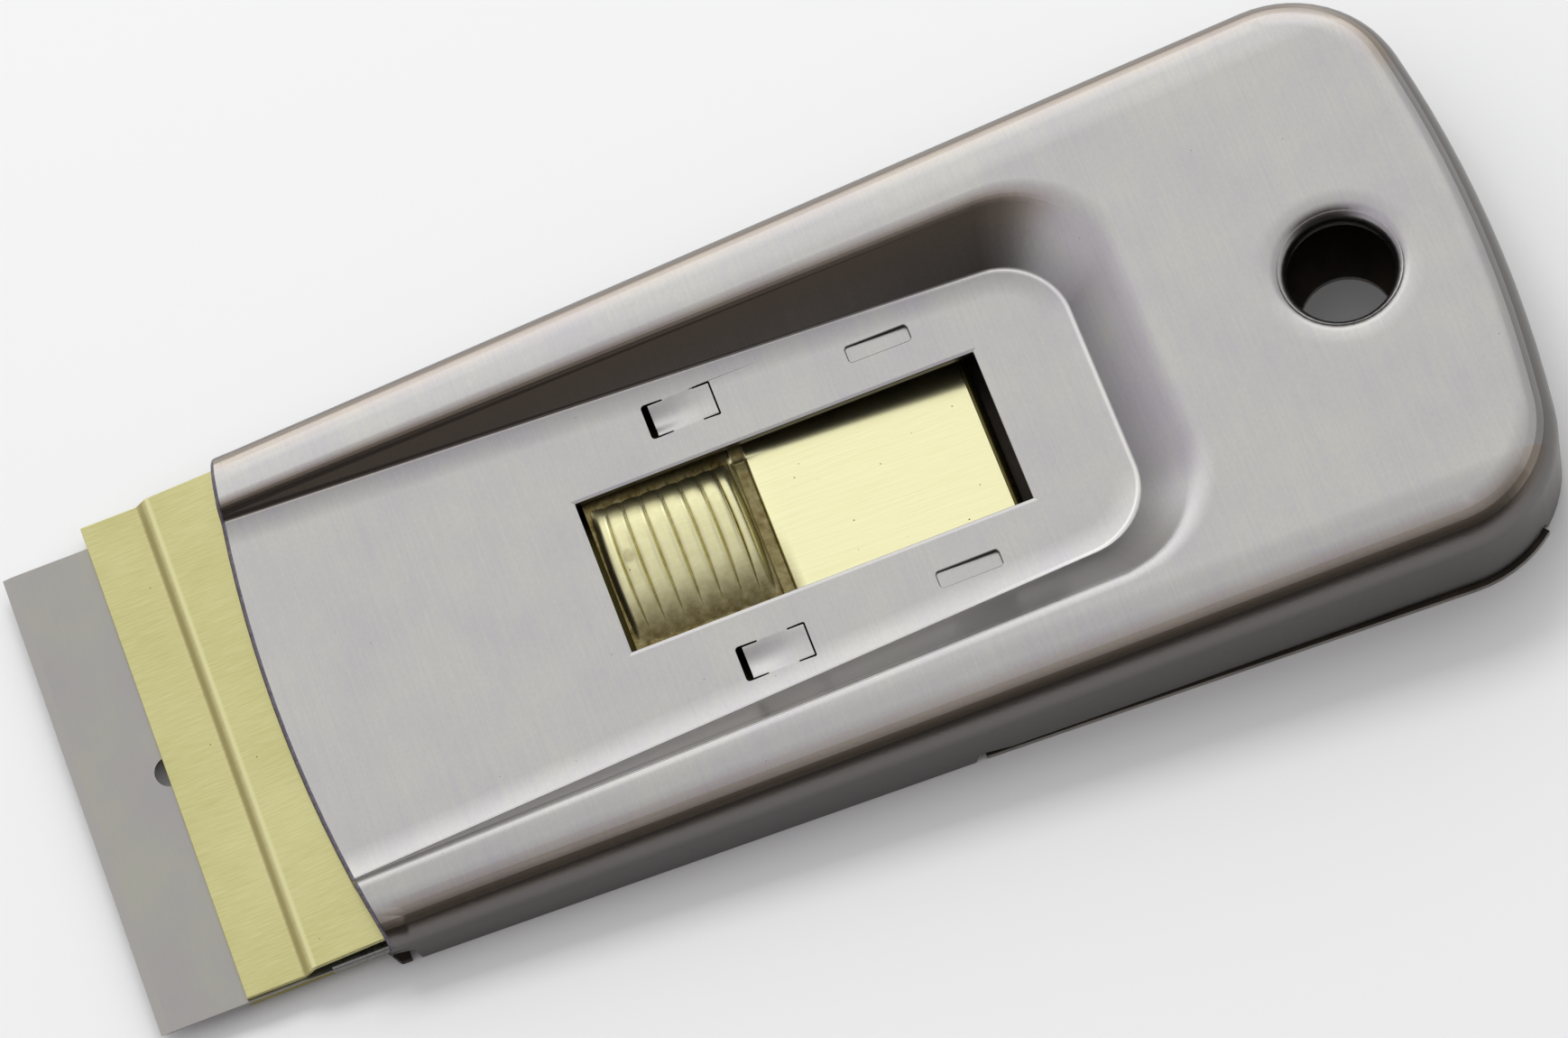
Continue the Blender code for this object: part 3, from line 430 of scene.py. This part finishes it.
def insideAndShadeFinish():
    # The unpolished inside of the handle, dark brown: partly its own colour, partly painted shade.
    c = coverShell
    made, tree, shader = newMaterial("dark inside of the sheet, partly painted shade")
    place = addNode(tree, "TexCoord").outputs["Object"]
    stainAndShade = addNode(tree, "TexNoise", {"Scale": metre / c["stainSize"], "Detail": 4.0, "Roughness": 0.6},
                    {"Vector": place})
    # dark brown, partly painted shade of the closed handle
    colours = addNode(tree, "ValToRGB", links={"Fac": stainAndShade.outputs["Fac"]})
    fillRamp(colours, ((0.35, c["insideDark"]), (0.7, c["insideColour"])))
    # The back plate's front apron, outside the cover, is rubbed clean by the carriage.
    split = addNode(tree, "SeparateXYZ", links={"Vector": place})
    ahead = addNode(tree, "MapRange", {"From Min": c["apronFrom"] * mm, "From Max": c["apronFull"] * mm},
                    {"Value": split.outputs["X"]}, interpolation_type="SMOOTHSTEP")
    side = addNode(tree, "Math", links={0: split.outputs["Y"]}, operation="ABSOLUTE")
    within = addNode(tree, "Math", {1: c["apronHalf"] * mm}, {0: side.outputs["Value"]},
                     operation="LESS_THAN")
    rubbed = addNode(tree, "Math", links={0: ahead.outputs["Result"], 1: within.outputs["Value"]},
                     operation="MULTIPLY")
    cleaned = addNode(tree, "Mix", {mixOver: linearColour(c["apronColour"])},
                      {mixShare: rubbed.outputs["Value"], mixBase: colours.outputs["Color"]},
                      data_type="RGBA")
    tree.links.new(cleaned.outputs[mixOut], shader.inputs["Base Color"])
    shader.inputs["Roughness"].default_value = c["insideRoughness"]
    shader.inputs["Metallic"].default_value = c["insideShine"]
    return made


def isInside(face):
    # The sheet's inner side looks down, or inwards where it is a wall.
    downwards, upright, inwards = -0.3, 0.6, -0.5
    if face.normal.z < downwards:
        return True
    middle = face.calc_center_median()
    outwards = Vector((max(0, middle.x - coverShell["endCentre"] * mm), middle.y, 0)).normalized()
    inWall = abs(middle.y) > coverShell["sideWall"] * mm or middle.x > coverShell["endWall"] * mm
    return inWall and abs(face.normal.z) < upright and face.normal.dot(outwards) < inwards


def facesFront(face):
    forwards = -0.7
    return face.normal.x < forwards


def shearedEdge():
    # The cut edge of the sheet in front, rolled over by the shear: a dark satin purple-grey.
    c = coverShell
    made, tree, shader = newMaterial("sheared stainless edge")
    place = addNode(tree, "TexCoord").outputs["Object"]
    tears = addNode(tree, "TexNoise", {"Scale": metre / c["tearSize"], "Detail": 3.0, "Roughness": 0.6},
                    {"Vector": place})
    colours = addNode(tree, "ValToRGB", links={"Fac": tears.outputs["Fac"]})
    fillRamp(colours, ((0.35, c["edgeDark"]), (0.65, c["edgeLight"])))
    tree.links.new(colours.outputs["Color"], shader.inputs["Base Color"])
    shader.inputs["Roughness"].default_value = c["edgeRoughness"]
    shader.inputs["Metallic"].default_value = 1.0
    return made


def edgePlace(edge):
    # Which of the cover's sheared outer edges this is, or nothing where it isn't one.
    c = coverShell
    faces = edge.link_faces
    if len(faces) != 2 or edge.calc_face_angle(0) < radians(c["sharperThan"]):
        return None
    if any(face.material_index == innerFinish for face in faces):
        return None
    middle = (edge.verts[0].co + edge.verts[1].co) / 2
    if any(facesFront(face) for face in faces) and middle.x < c["noseRear"] * mm:
        return "noseEdge"
    marksFront, marksRear = c["marks"]
    if marksFront < middle.x / mm < marksRear and abs(middle.y) > c["marksBeside"] * mm:
        return None  # the half-pierced marks have their own rolled rims
    return "windowEdge" if abs(middle.y) < c["windowReach"] * mm else "cutEdge"


def closeLances(bm):
    # The shears leave hardly a gap, so the two lances fill their cuts better and sink a little less.
    c = coverShell
    margin, rearMargin = 0.1, 0.05
    for vert in bm.verts:
        x, y = vert.co.x / mm, abs(vert.co.y) / mm - c["lanceMiddle"]
        onLength = c["lanceFront"] - margin < x < c["lanceRear"] + rearMargin
        if not onLength or abs(y) >= c["lanceHalf"] - margin:
            continue
        run = max(0, min(1, (x - c["lanceFront"]) / (c["lanceRear"] - c["lanceFront"])))
        lengthways = c["lanceRearDepth"] + (1 - c["lanceRearDepth"]) * (1 + cos(pi * run)) / 2
        sunk = c["lanceDepth"] * lengthways * (1 + cos(pi * y / c["lanceHalf"])) / 2
        vert.co.z += c["lanceRise"] * sunk * mm
        wide = (c["lanceMiddle"] + c["lanceWiden"] * y) * mm
        vert.co.y = wide if vert.co.y > 0 else -wide
        if x > c["lanceRear"] - rearMargin:
            vert.co.x += c["lanceShut"] * mm


def drawnAndShadeHere(loop, face):
    # How far a face leans is how much it was drawn and painted in shade; more if sideways or at the end.
    c = coverShell
    normal = loop.vert.normal
    sideways = abs(normal.y) / max(abs(normal.x) + abs(normal.y), 0.001)
    atEnd = smoothStep((loop.vert.co.x / mm - c["endFrom"]) / c["endRun"])
    aside = max(smoothStep((sideways - c["asideFrom"]) / c["asideRun"]), atEnd)
    return min(1, (c["drawnAndShadeEverywhere"] + c["drawnAndShadeAside"] * aside) * (1 - abs(face.normal.z)))


def makeCoverShell(finishes):
    bm = mergedNode("top_cover")
    closeLances(bm)
    drawnAndShade = bm.loops.layers.float.new("drawnAndShade")
    for face in bm.faces:
        atNose = facesFront(face) and face.calc_center_median().x < coverShell["noseRear"] * mm
        face.material_index = innerFinish if isInside(face) else rimFinish if atNose else outerFinish
    for name, finish, segments in (
        ("noseEdge", rimFinish, 3), ("windowEdge", outerFinish, 2), ("cutEdge", outerFinish, 2),
    ):
        edges = [edge for edge in bm.edges if edgePlace(edge) == name]
        rounded = roundOff(bm, edges, coverShell[name] * mm, segments)
        for face in rounded:
            face.material_index = finish
        print(name, len(edges), "edges,", len(rounded), "faces")
    bm.normal_update()
    for face in bm.faces:
        for loop in face.loops:
            loop[drawnAndShade] = drawnAndShadeHere(loop, face)
    piece = addPiece(bm, "coverShell", "housing", finishes, "top_cover")
    keepFlat(piece)


stainless = brushedStainless()
insideAndShade = insideAndShadeFinish()
makeCoverShell([stainless, insideAndShade, shearedEdge()])
print("cover made")

# The back plate. Its short lug in each front notch takes the inside's dark finish, as painted shade.
backSheet = {
    "edge": 0.06, "lugRear": -35.9, "lugSide": 20, "dark": "#8f8a84", "light": "#a39e97", "roughness": 0.38,
    "lineWidth": 0.3, "lineLength": 4.0,
}


def milledSteel(name, settings):
    # Cold-rolled strip steel as it came off the rolls: an even grey with faint long streaks.
    cloudSize, cloudShare, streakDepth = 6.0, 2.0, 0.0003
    toneRange = {"From Min": 1.1, "From Max": 1.9}
    smoother, rougher = 0.03, 0.04
    made, tree, shader = newMaterial(name)
    place = addNode(tree, "TexCoord").outputs["Object"]
    width, length = metre / settings["lineWidth"], metre / settings["lineLength"]
    stretched = addNode(tree, "Mapping", {"Scale": (width, length, length)}, {"Vector": place})
    lines = addNode(tree, "TexNoise", {"Scale": 1.0, "Detail": 3.0, "Roughness": 0.6},
                    {"Vector": stretched.outputs["Vector"]})
    clouds = addNode(tree, "TexNoise", {"Scale": metre / cloudSize, "Detail": 4.0}, {"Vector": place})
    mixed = addNode(tree, "Math", {1: cloudShare}, {0: clouds.outputs["Fac"], 2: lines.outputs["Fac"]},
                    operation="MULTIPLY_ADD")
    tone = addNode(tree, "MapRange", toneRange, {"Value": mixed.outputs["Value"]})
    colours = addNode(tree, "ValToRGB", links={"Fac": tone.outputs["Result"]})
    fillRamp(colours, ((0, settings["dark"]), (1, settings["light"])))
    tree.links.new(colours.outputs["Color"], shader.inputs["Base Color"])
    low, high = settings["roughness"] - smoother, settings["roughness"] + rougher
    rough = addNode(tree, "MapRange", {**noiseRange, "To Min": low, "To Max": high},
                    {"Value": lines.outputs["Fac"]})
    tree.links.new(rough.outputs["Result"], shader.inputs["Roughness"])
    streaks = addNode(tree, "Bump", {"Strength": 1.0, "Distance": streakDepth * mm},
                      {"Height": lines.outputs["Fac"]})
    tree.links.new(streaks.outputs["Normal"], shader.inputs["Normal"])
    shader.inputs["Metallic"].default_value = 1.0
    return made


def makeBackSheet(finish, insideAndShade):
    bm = mergedNode("back_plate")
    upwards = 0.5
    # Its upper face, inside the handle, and the lugs take the inside's finish, partly painted shade.
    for face in bm.faces:
        middle = face.calc_center_median()
        shadedLug = middle.x < backSheet["lugRear"] * mm and abs(middle.y) > backSheet["lugSide"] * mm
        face.material_index = 1 if face.normal.z > upwards or shadedLug else 0
    piece = addPiece(bm, "backSheet", "housing", [finish, insideAndShade], "back_plate")
    easeEdges(piece, backSheet["edge"] * mm)


makeBackSheet(milledSteel("cold-rolled stainless back", backSheet), insideAndShade)
print("back made")

# The two brass sheets that hold the blade. Each band across one (of painted shade, painted highlight, and
# tarnish with painted shade) is its place, half its width and its colour.
clampSheet = {
    "edge": 0.06, "dark": "#bfba80", "light": "#d4d09b", "roughness": (0.28, 0.38), "lineWidth": 0.12,
    "lineLength": 2.6, "lineDepth": 0.0014, "pitSpacing": 1.6, "pitSize": 0.07, "pitColour": "#6b6034",
    "lines": ((-43.35, 0.3, "#a9a06c"), (-42.75, 0.3, "#dbd7a4")),  # painted shade in the joggle's fold and a painted highlight on its crest
}
traySheet = {
    "edge": 0.05, "dark": "#9c9150", "light": "#b5ab6b", "roughness": (0.34, 0.44), "lineWidth": 0.14,
    "lineLength": 3.0, "lineDepth": 0.0014, "pitSpacing": 2.0, "pitSize": 0.06, "pitColour": "#5c5230",
    "lines": ((0.0, 30.0, "#2f2812"),),  # partly tarnish, partly painted shade, where it stays inside the handle
}


def brushedBrass(name, settings):
    # Rolled brass strip, brushed lengthways and never lacquered: a greenish yellow with fine lines, small
    # dark pits, faint clouds of tarnish and, as its settings say, bands across it of painted shade, painted
    # highlight and tarnish.
    cloudSize, cloudShare, paintedLightShare = 9.0, 0.5, 0.85
    toneRange = {"From Min": 0.52, "From Max": 0.98}
    made, tree, shader = newMaterial(name)
    place = addNode(tree, "TexCoord").outputs["Object"]
    length, width = metre / settings["lineLength"], metre / settings["lineWidth"]
    stretched = addNode(tree, "Mapping", {"Scale": (length, width, metre)}, {"Vector": place})
    lines = addNode(tree, "TexNoise", {"Scale": 1.0, "Detail": 4.0, "Roughness": 0.7},
                    {"Vector": stretched.outputs["Vector"]})
    clouds = addNode(tree, "TexNoise", {"Scale": metre / cloudSize, "Detail": 3.0}, {"Vector": place})
    mixed = addNode(tree, "Math", {1: cloudShare}, {0: clouds.outputs["Fac"], 2: lines.outputs["Fac"]},
                    operation="MULTIPLY_ADD")
    tone = addNode(tree, "MapRange", toneRange, {"Value": mixed.outputs["Value"]})
    colours = addNode(tree, "ValToRGB", links={"Fac": tone.outputs["Result"]})
    fillRamp(colours, ((0, settings["dark"]), (1, settings["light"])))
    cells = addNode(tree, "TexVoronoi", {"Scale": metre / settings["pitSpacing"]}, {"Vector": place})
    reach = settings["pitSize"] / settings["pitSpacing"]
    dot = addNode(tree, "MapRange", {"From Min": reach, "From Max": reach / 2},
                  {"Value": cells.outputs["Distance"]})
    pitted = addNode(tree, "Mix", {mixOver: linearColour(settings["pitColour"])},
                     {mixShare: dot.outputs["Result"], mixBase: colours.outputs["Color"]}, data_type="RGBA")
    worn = pitted.outputs[mixOut]
    # Bands of painted shade and painted highlight across the strip, partly tarnish on the tray.
    for at, halfWidth, colour in settings["lines"]:
        moved = addNode(tree, "Mapping", {"Location": (-at * mm, 0, 0)}, {"Vector": place})
        apart = addNode(tree, "SeparateXYZ", links={"Vector": moved.outputs["Vector"]})
        away = addNode(tree, "Math", links={0: apart.outputs["X"]}, operation="ABSOLUTE")
        reach = {"From Min": halfWidth * mm, "From Max": halfWidth * mm / 4, "To Max": paintedLightShare}
        share = addNode(tree, "MapRange", reach, {"Value": away.outputs["Value"]},
                        interpolation_type="SMOOTHSTEP")
        paintedLightBand = addNode(tree, "Mix", {mixOver: linearColour(colour)},
                         {mixShare: share.outputs["Result"], mixBase: worn}, data_type="RGBA")
        worn = paintedLightBand.outputs[mixOut]
    tree.links.new(worn, shader.inputs["Base Color"])
    low, high = settings["roughness"]
    rough = addNode(tree, "MapRange", {**noiseRange, "To Min": low, "To Max": high},
                    {"Value": lines.outputs["Fac"]})
    tree.links.new(rough.outputs["Result"], shader.inputs["Roughness"])
    brushed = addNode(tree, "Bump", {"Strength": 1.0, "Distance": settings["lineDepth"] * mm},
                      {"Height": lines.outputs["Fac"]})
    tree.links.new(brushed.outputs["Normal"], shader.inputs["Normal"])
    shader.inputs["Metallic"].default_value = 1.0
    return made


clampBrass = brushedBrass("brushed brass strip", clampSheet)
trayBrass = brushedBrass("dull brass strip", traySheet)
clamp = addPiece(mergedNode("blade_clamp"), "clampSheet", "carriage", [clampBrass],
                 "blade_clamp")
easeEdges(clamp, clampSheet["edge"] * mm)
tray = addPiece(mergedNode("carriage_tray"), "traySheet", "carriage", [trayBrass],
                "carriage_tray")
easeEdges(tray, traySheet["edge"] * mm)
print("brass sheets made")

# The blade and the folded strip on its back.
razorBlade = {
    "dark": "#a29fa0", "light": "#a7a69c", "roughness": 0.34, "lineWidth": 0.12, "lineLength": 2.5,
    "groundColour": "#a7a59e", "groundRoughness": 0.33, "groundDepth": 0.7,
    "grindWidth": 0.12, "grindLength": 2.0,
}
bladeBack = {
    "edge": 0.05, "dark": "#a2a2a0", "light": "#b4b4b2", "roughness": 0.28,
    "lineWidth": 0.3, "lineLength": 5.0,
}


def groundEdge():
    # The bevel that is ground on the blade: as grey as its flats, with fine grinding lines square
    # to the edge.
    smoother, rougher = 0.02, 0.05
    made, tree, shader = newMaterial("fine-ground blade edge")
    place = addNode(tree, "TexCoord").outputs["Object"]
    length, width = metre / razorBlade["grindLength"], metre / razorBlade["grindWidth"]
    stretched = addNode(tree, "Mapping", {"Scale": (length, width, length)}, {"Vector": place})
    lines = addNode(tree, "TexNoise", {"Scale": 1.0, "Detail": 3.0, "Roughness": 0.6},
                    {"Vector": stretched.outputs["Vector"]})
    tone = addNode(tree, "MapRange", noiseRange, {"Value": lines.outputs["Fac"]})
    colours = addNode(tree, "ValToRGB", links={"Fac": tone.outputs["Result"]})
    fillRamp(colours, ((0, razorBlade["dark"]), (1, razorBlade["groundColour"])))
    tree.links.new(colours.outputs["Color"], shader.inputs["Base Color"])
    low, high = razorBlade["groundRoughness"] - smoother, razorBlade["groundRoughness"] + rougher
    rough = addNode(tree, "MapRange", {**noiseRange, "To Min": low, "To Max": high},
                    {"Value": lines.outputs["Fac"]})
    tree.links.new(rough.outputs["Result"], shader.inputs["Roughness"])
    shader.inputs["Metallic"].default_value = 1.0
    return made


def makeBlade(plain, ground):
    bm = mergedNode("blade")
    sideways = 0.5
    front = min(vert.co.x for vert in bm.verts)
    for face in bm.faces:
        onBevel = face.calc_center_median().x < front + razorBlade["groundDepth"] * mm
        face.material_index = 1 if onBevel and abs(face.normal.y) < sideways else 0
    addPiece(bm, "razorBlade", "carriage", [plain, ground], "blade", sharpFrom=5)


makeBlade(milledSteel("cold-rolled blade steel", razorBlade), groundEdge())
spine = addPiece(mergedNode("blade_spine"), "bladeBack", "carriage",
                 [milledSteel("plated folded steel", bladeBack)], "blade_spine")
easeEdges(spine, bladeBack["edge"] * mm)
print("blade made")

# The thumb tongue: where it lies and its pressed forms, in millimetres.
thumbTongue = {
    "front": -13.4, "rear": 15.65, "halfWidth": 8.505, "thickness": 0.35,
    "rootHeight": 2.04, "slope": 0.05227,
    "padFront": -13.3, "padRear": -2.3, "padHalfWidth": 5.655, "crest": 1.4815, "crown": 0.7,
    "frontSquareness": 12, "sideSquareness": 6,
    "ribs": 8, "ribHeight": 0.38, "ribSpread": 0.12, "ribBow": 0.05, "ribRound": 0.7, "ribEnds": 0.02,
    "valleyWidth": 1.25, "valleyDepth": 0.35, "valleyWall": 0.25, "valleySide": 1.03, "valleySideRun": 0.06,
    # how fine its grid is; the rows crowd towards the pad's sides
    "columnsPerRib": 26, "valleyColumns": 20, "plateColumns": 8, "halfRows": 44, "rowCrowding": 0.8,
}
# Its finish: how much dirt, painted shade and painted highlight each of its forms holds, in shares, and
# lengths in millimetres.
tongueFinish = {
    "dark": "#f1edba", "light": "#f8f5ca", "roughness": (0.2, 0.3), "tarnishRoughness": 0.2,
    "lineSize": (5.0, 0.12, 2.0), "lineDepth": 0.0002, "wornDepth": 0.0012,
    # the brown of tarnish, also the colour of the painted shade
    "tarnishAndShade": "#5f4c14", "blotchSize": 0.7,
    "stainAndShadeFrom": (-0.3, 1.0), "stainAndShadeFull": (-1.6, -6.2),  # along and across the handle
    "stainAndShadeBroken": (0.78, 0.95), "dirtAndShadeBroken": (0.85, 1.1),  # how much the blotches take from either
    "rubPlace": (-11.55, 0.7), "rubSize": (0.75, 1.1), "rubMiddle": 0.4, "rubShare": 0.6,
    "pitSpacing": 1.5, "pitOuter": 0.055, "pitInner": 0.03, "pitColour": "#6d6130",  # shares of the spacing
    "marginShade": 0.9, "marginFrom": 0.93,
    "valleyDark": 0.85, "valleyDarkFrom": 0.05, "valleyDarkRun": 0.2, "valleyRearRun": 0.12,
    "ribShade": 0.3, "highlightAt": 0.86, "highlightHalf": 0.11,  # a painted highlight on each rib's rear shoulder, the rest darker
    "creaseDirtAndShade": 0.55, "creaseRun": 0.12, "sideShade": 0.3, "sideShadeFrom": 0.6, "sideShadeRun": 0.35,
}


def tongueColumns():
    t = thumbTongue
    columns = [t["front"], t["padFront"]]
    stretches = (
        (t["padRear"], t["ribs"] * t["columnsPerRib"]),
        (t["padRear"] + t["valleyWidth"], t["valleyColumns"]),
        (t["rear"], t["plateColumns"]),
    )
    for end, count in stretches:
        start = columns[-1]
        columns += [start + (end - start) * (i + 1) / count for i in range(count)]
    return columns


def tongueRows():
    t = thumbTongue
    shares = [sin(pi / 2 * i / t["halfRows"]) ** t["rowCrowding"] for i in range(1, t["halfRows"] + 1)]
    half = [t["padHalfWidth"] * share for share in shares]
    beside = t["halfWidth"] - t["padHalfWidth"]
    half += [t["padHalfWidth"] + beside * share for share in (0.15, 1)]  # two rows on the flat beside the pad
    return [-y for y in reversed(half)] + [0] + half


def tonguePoint(x, y):
    # Where a point of the flat grid goes, as the ribs bow apart and the pad and valley rise and sink, and how
    # much dirt and painted shade it holds, less along each rib's painted highlight.
    t, f, tolerance = thumbTongue, tongueFinish, 0.0001
    middle, halfLength = (t["padFront"] + t["padRear"]) / 2, (t["padRear"] - t["padFront"]) / 2
    along, across = (x - middle) / halfLength, y / t["padHalfWidth"]
    outermost = max(abs(along), abs(across))
    height = t["rootHeight"] + t["slope"] * (t["rear"] - x)
    into = x - t["padRear"]
    # painted shade on the flat round the pad
    onMargin = smoothStep((outermost - f["marginFrom"]) / (1 - f["marginFrom"])) if into < 0 else 0
    dirtAndShade = f["marginShade"] * onMargin
    if 0 < into < t["valleyWidth"]:
        left = t["valleyWidth"] - into
        dip = smoothStep(into / t["valleyWall"]) * smoothStep(left / t["valleyWall"])
        height -= t["valleyDepth"] * dip * smoothStep((t["valleySide"] - abs(across)) / t["valleySideRun"])
        # darker in the valley
        inValley = smoothStep((into - f["valleyDarkFrom"]) / f["valleyDarkRun"])
        dirtAndShade = f["valleyDark"] * inValley * smoothStep(left / f["valleyRearRun"])
    if outermost < 1 + tolerance:
        phase = t["ribs"] * (along + 1) / 2 % 1
        rib = abs(sin(pi * phase)) ** t["ribRound"]
        # painted highlight on each rib's rear shoulder; the rest of the rib a little darker
        paintedHighlight = smoothStep(1 - abs(phase - f["highlightAt"]) / f["highlightHalf"])
        # dark in each groove, partly dirt and partly painted shade
        creased = f["creaseDirtAndShade"] * (1 - smoothStep(phase / f["creaseRun"]))
        # painted shade at the far ends of the ribs, under the cover's edge
        atSide = f["sideShade"] * smoothStep((across - f["sideShadeFrom"]) / f["sideShadeRun"])
        dirtAndShade = max(dirtAndShade, f["ribShade"] * (1 - paintedHighlight) + creased + atSide)
        reach = min(1, abs(across) / (1 - t["ribEnds"] * (1 - rib)))
        sides = (1 - min(1, abs(along)) ** t["frontSquareness"]) * (1 - reach ** t["sideSquareness"])
        height += sides * (1 - t["crown"] * across ** 2) * (t["crest"] - t["ribHeight"] * (1 - rib))
        spread = along + t["ribSpread"] * (along - along ** 3)
        x = middle + spread * (1 - t["ribBow"] * across ** 2) * halfLength
    return x, y, height, dirtAndShade


def thumbBrass():
    # Bright rolled brass, polished by thumbs: fine lines lengthways, small pits, painted shade round the pad,
    # in its grooves with dirt and at both ends of its ribs with tarnish at the near end, a darker valley, a
    # painted highlight on each rib, and a rubbed brown mark on the second rib.
    f = tongueFinish
    made, tree, shader = newMaterial("thumb-polished brass")
    place = addNode(tree, "TexCoord").outputs["Object"]
    split = addNode(tree, "SeparateXYZ", links={"Vector": place})
    stretched = addNode(tree, "Mapping", {"Scale": [metre / size for size in f["lineSize"]]},
                        {"Vector": place})
    lines = addNode(tree, "TexNoise", {"Scale": 1.0, "Detail": 4.0, "Roughness": 0.7},
                    {"Vector": stretched.outputs["Vector"]})
    mottled = {"Scale": metre / f["blotchSize"], "Detail": 4.0, "Roughness": 0.65}
    blotches = addNode(tree, "TexNoise", mottled, {"Vector": place})
    tone = addNode(tree, "MapRange", noiseRange, {"Value": lines.outputs["Fac"]})
    colours = addNode(tree, "ValToRGB", links={"Fac": tone.outputs["Result"]})
    fillRamp(colours, ((0, f["dark"]), (1, f["light"])))
    # Towards the near end of the ribs the brass darkens, partly tarnish and partly painted shade, broken up
    # by the blotches.
    (startX, startY), (fullX, fullY) = f["stainAndShadeFrom"], f["stainAndShadeFull"]
    near = addNode(tree, "MapRange", {"From Min": startY * mm, "From Max": fullY * mm},
                   {"Value": split.outputs["Y"]}, interpolation_type="SMOOTHSTEP")
    onPad = addNode(tree, "MapRange", {"From Min": startX * mm, "From Max": fullX * mm},
                    {"Value": split.outputs["X"]})
    both = addNode(tree, "Math", links={0: near.outputs["Result"], 1: onPad.outputs["Result"]},
                   operation="MULTIPLY")
    low, high = f["stainAndShadeBroken"]
    broken = addNode(tree, "MapRange", {"From Min": 0.35, "From Max": 0.65, "To Min": low, "To Max": high},
                     {"Value": blotches.outputs["Fac"]})
    stainAndShade = addNode(tree, "Math", links={0: both.outputs["Value"], 1: broken.outputs["Result"]},
                    operation="MULTIPLY", use_clamp=True)
    (rubX, rubY), (rubLength, rubWidth) = f["rubPlace"], f["rubSize"]
    around = {
        "Location": (-rubX / rubLength, -rubY / rubWidth, 0),
        "Scale": (metre / rubLength, metre / rubWidth, 0),
    }
    centred = addNode(tree, "Mapping", around, {"Vector": place})
    away = addNode(tree, "VectorMath", links={0: centred.outputs["Vector"]}, operation="LENGTH")
    rub = addNode(tree, "MapRange", {"From Min": 1.0, "From Max": f["rubMiddle"], "To Max": f["rubShare"]},
                  {"Value": away.outputs["Value"]})
    rubbed = addNode(tree, "Math", links={0: rub.outputs["Result"], 1: broken.outputs["Result"]},
                     operation="MULTIPLY", use_clamp=True)
    patches = addNode(tree, "Math", links={0: stainAndShade.outputs["Value"], 1: rubbed.outputs["Value"]},
                      operation="MAXIMUM")
    held = addNode(tree, "Attribute", attribute_name="dirtAndShade")
    low, high = f["dirtAndShadeBroken"]
    uneven = addNode(tree, "MapRange", {**noiseRange, "To Min": low, "To Max": high},
                     {"Value": blotches.outputs["Fac"]})
    inGrooves = addNode(tree, "Math", links={0: held.outputs["Fac"], 1: uneven.outputs["Result"]},
                        operation="MULTIPLY")
    worst = addNode(tree, "Math", links={0: patches.outputs["Value"], 1: inGrooves.outputs["Value"]},
                    operation="MAXIMUM", use_clamp=True)
    tarnishedAndShaded = addNode(tree, "Mix", {mixOver: linearColour(f["tarnishAndShade"])},
                        {mixShare: worst.outputs["Value"], mixBase: colours.outputs["Color"]},
                        data_type="RGBA")
    cells = addNode(tree, "TexVoronoi", {"Scale": metre / f["pitSpacing"]}, {"Vector": place})
    dot = addNode(tree, "MapRange", {"From Min": f["pitOuter"], "From Max": f["pitInner"]},
                  {"Value": cells.outputs["Distance"]})
    pitted = addNode(tree, "Mix", {mixOver: linearColour(f["pitColour"])},
                     {mixShare: dot.outputs["Result"], mixBase: tarnishedAndShaded.outputs[mixOut]}, data_type="RGBA")
    tree.links.new(pitted.outputs[mixOut], shader.inputs["Base Color"])
    low, high = f["roughness"]
    rough = addNode(tree, "MapRange", {"To Min": low, "To Max": high + f["tarnishRoughness"]},
                    {"Value": worst.outputs["Value"]})
    tree.links.new(rough.outputs["Result"], shader.inputs["Roughness"])
    worn = addNode(tree, "Bump", {"Strength": 1.0, "Distance": f["wornDepth"] * mm},
                   {"Height": blotches.outputs["Fac"]})
    brushed = addNode(tree, "Bump", {"Strength": 1.0, "Distance": f["lineDepth"] * mm},
                      {"Height": lines.outputs["Fac"], "Normal": worn.outputs["Normal"]})
    tree.links.new(brushed.outputs["Normal"], shader.inputs["Normal"])
    shader.inputs["Metallic"].default_value = 1.0
    return made


def makeThumbTongue(finish):
    columns, rows = tongueColumns(), tongueRows()
    bm = bmesh.new()
    bmesh.ops.create_grid(bm, x_segments=len(columns) - 1, y_segments=len(rows) - 1, size=1)
    flat = sorted(bm.verts, key=lambda v: (round(v.co.x, 5), round(v.co.y, 5)))
    for i, vert in enumerate(flat):
        vert.co = Vector((columns[i // len(rows)], rows[i % len(rows)], -thumbTongue["thickness"]))
    raised = bmesh.ops.extrude_face_region(bm, geom=bm.faces[:])
    top = [item for item in raised["geom"] if isinstance(item, bmesh.types.BMVert)]
    bmesh.ops.translate(bm, verts=top, vec=(0, 0, thumbTongue["thickness"]))
    held = bm.verts.layers.float.new("dirtAndShade")
    for vert in bm.verts:
        x, y, height, vert[held] = tonguePoint(vert.co.x, vert.co.y)
        vert.co = Vector((x, y, height + vert.co.z)) * mm
    bmesh.ops.recalc_face_normals(bm, faces=bm.faces[:])
    addPiece(bm, "thumbTongue", "leaf", [finish], "thumb_leaf", sharpFrom=60)


makeThumbTongue(thumbBrass())
print("thumb tongue made")
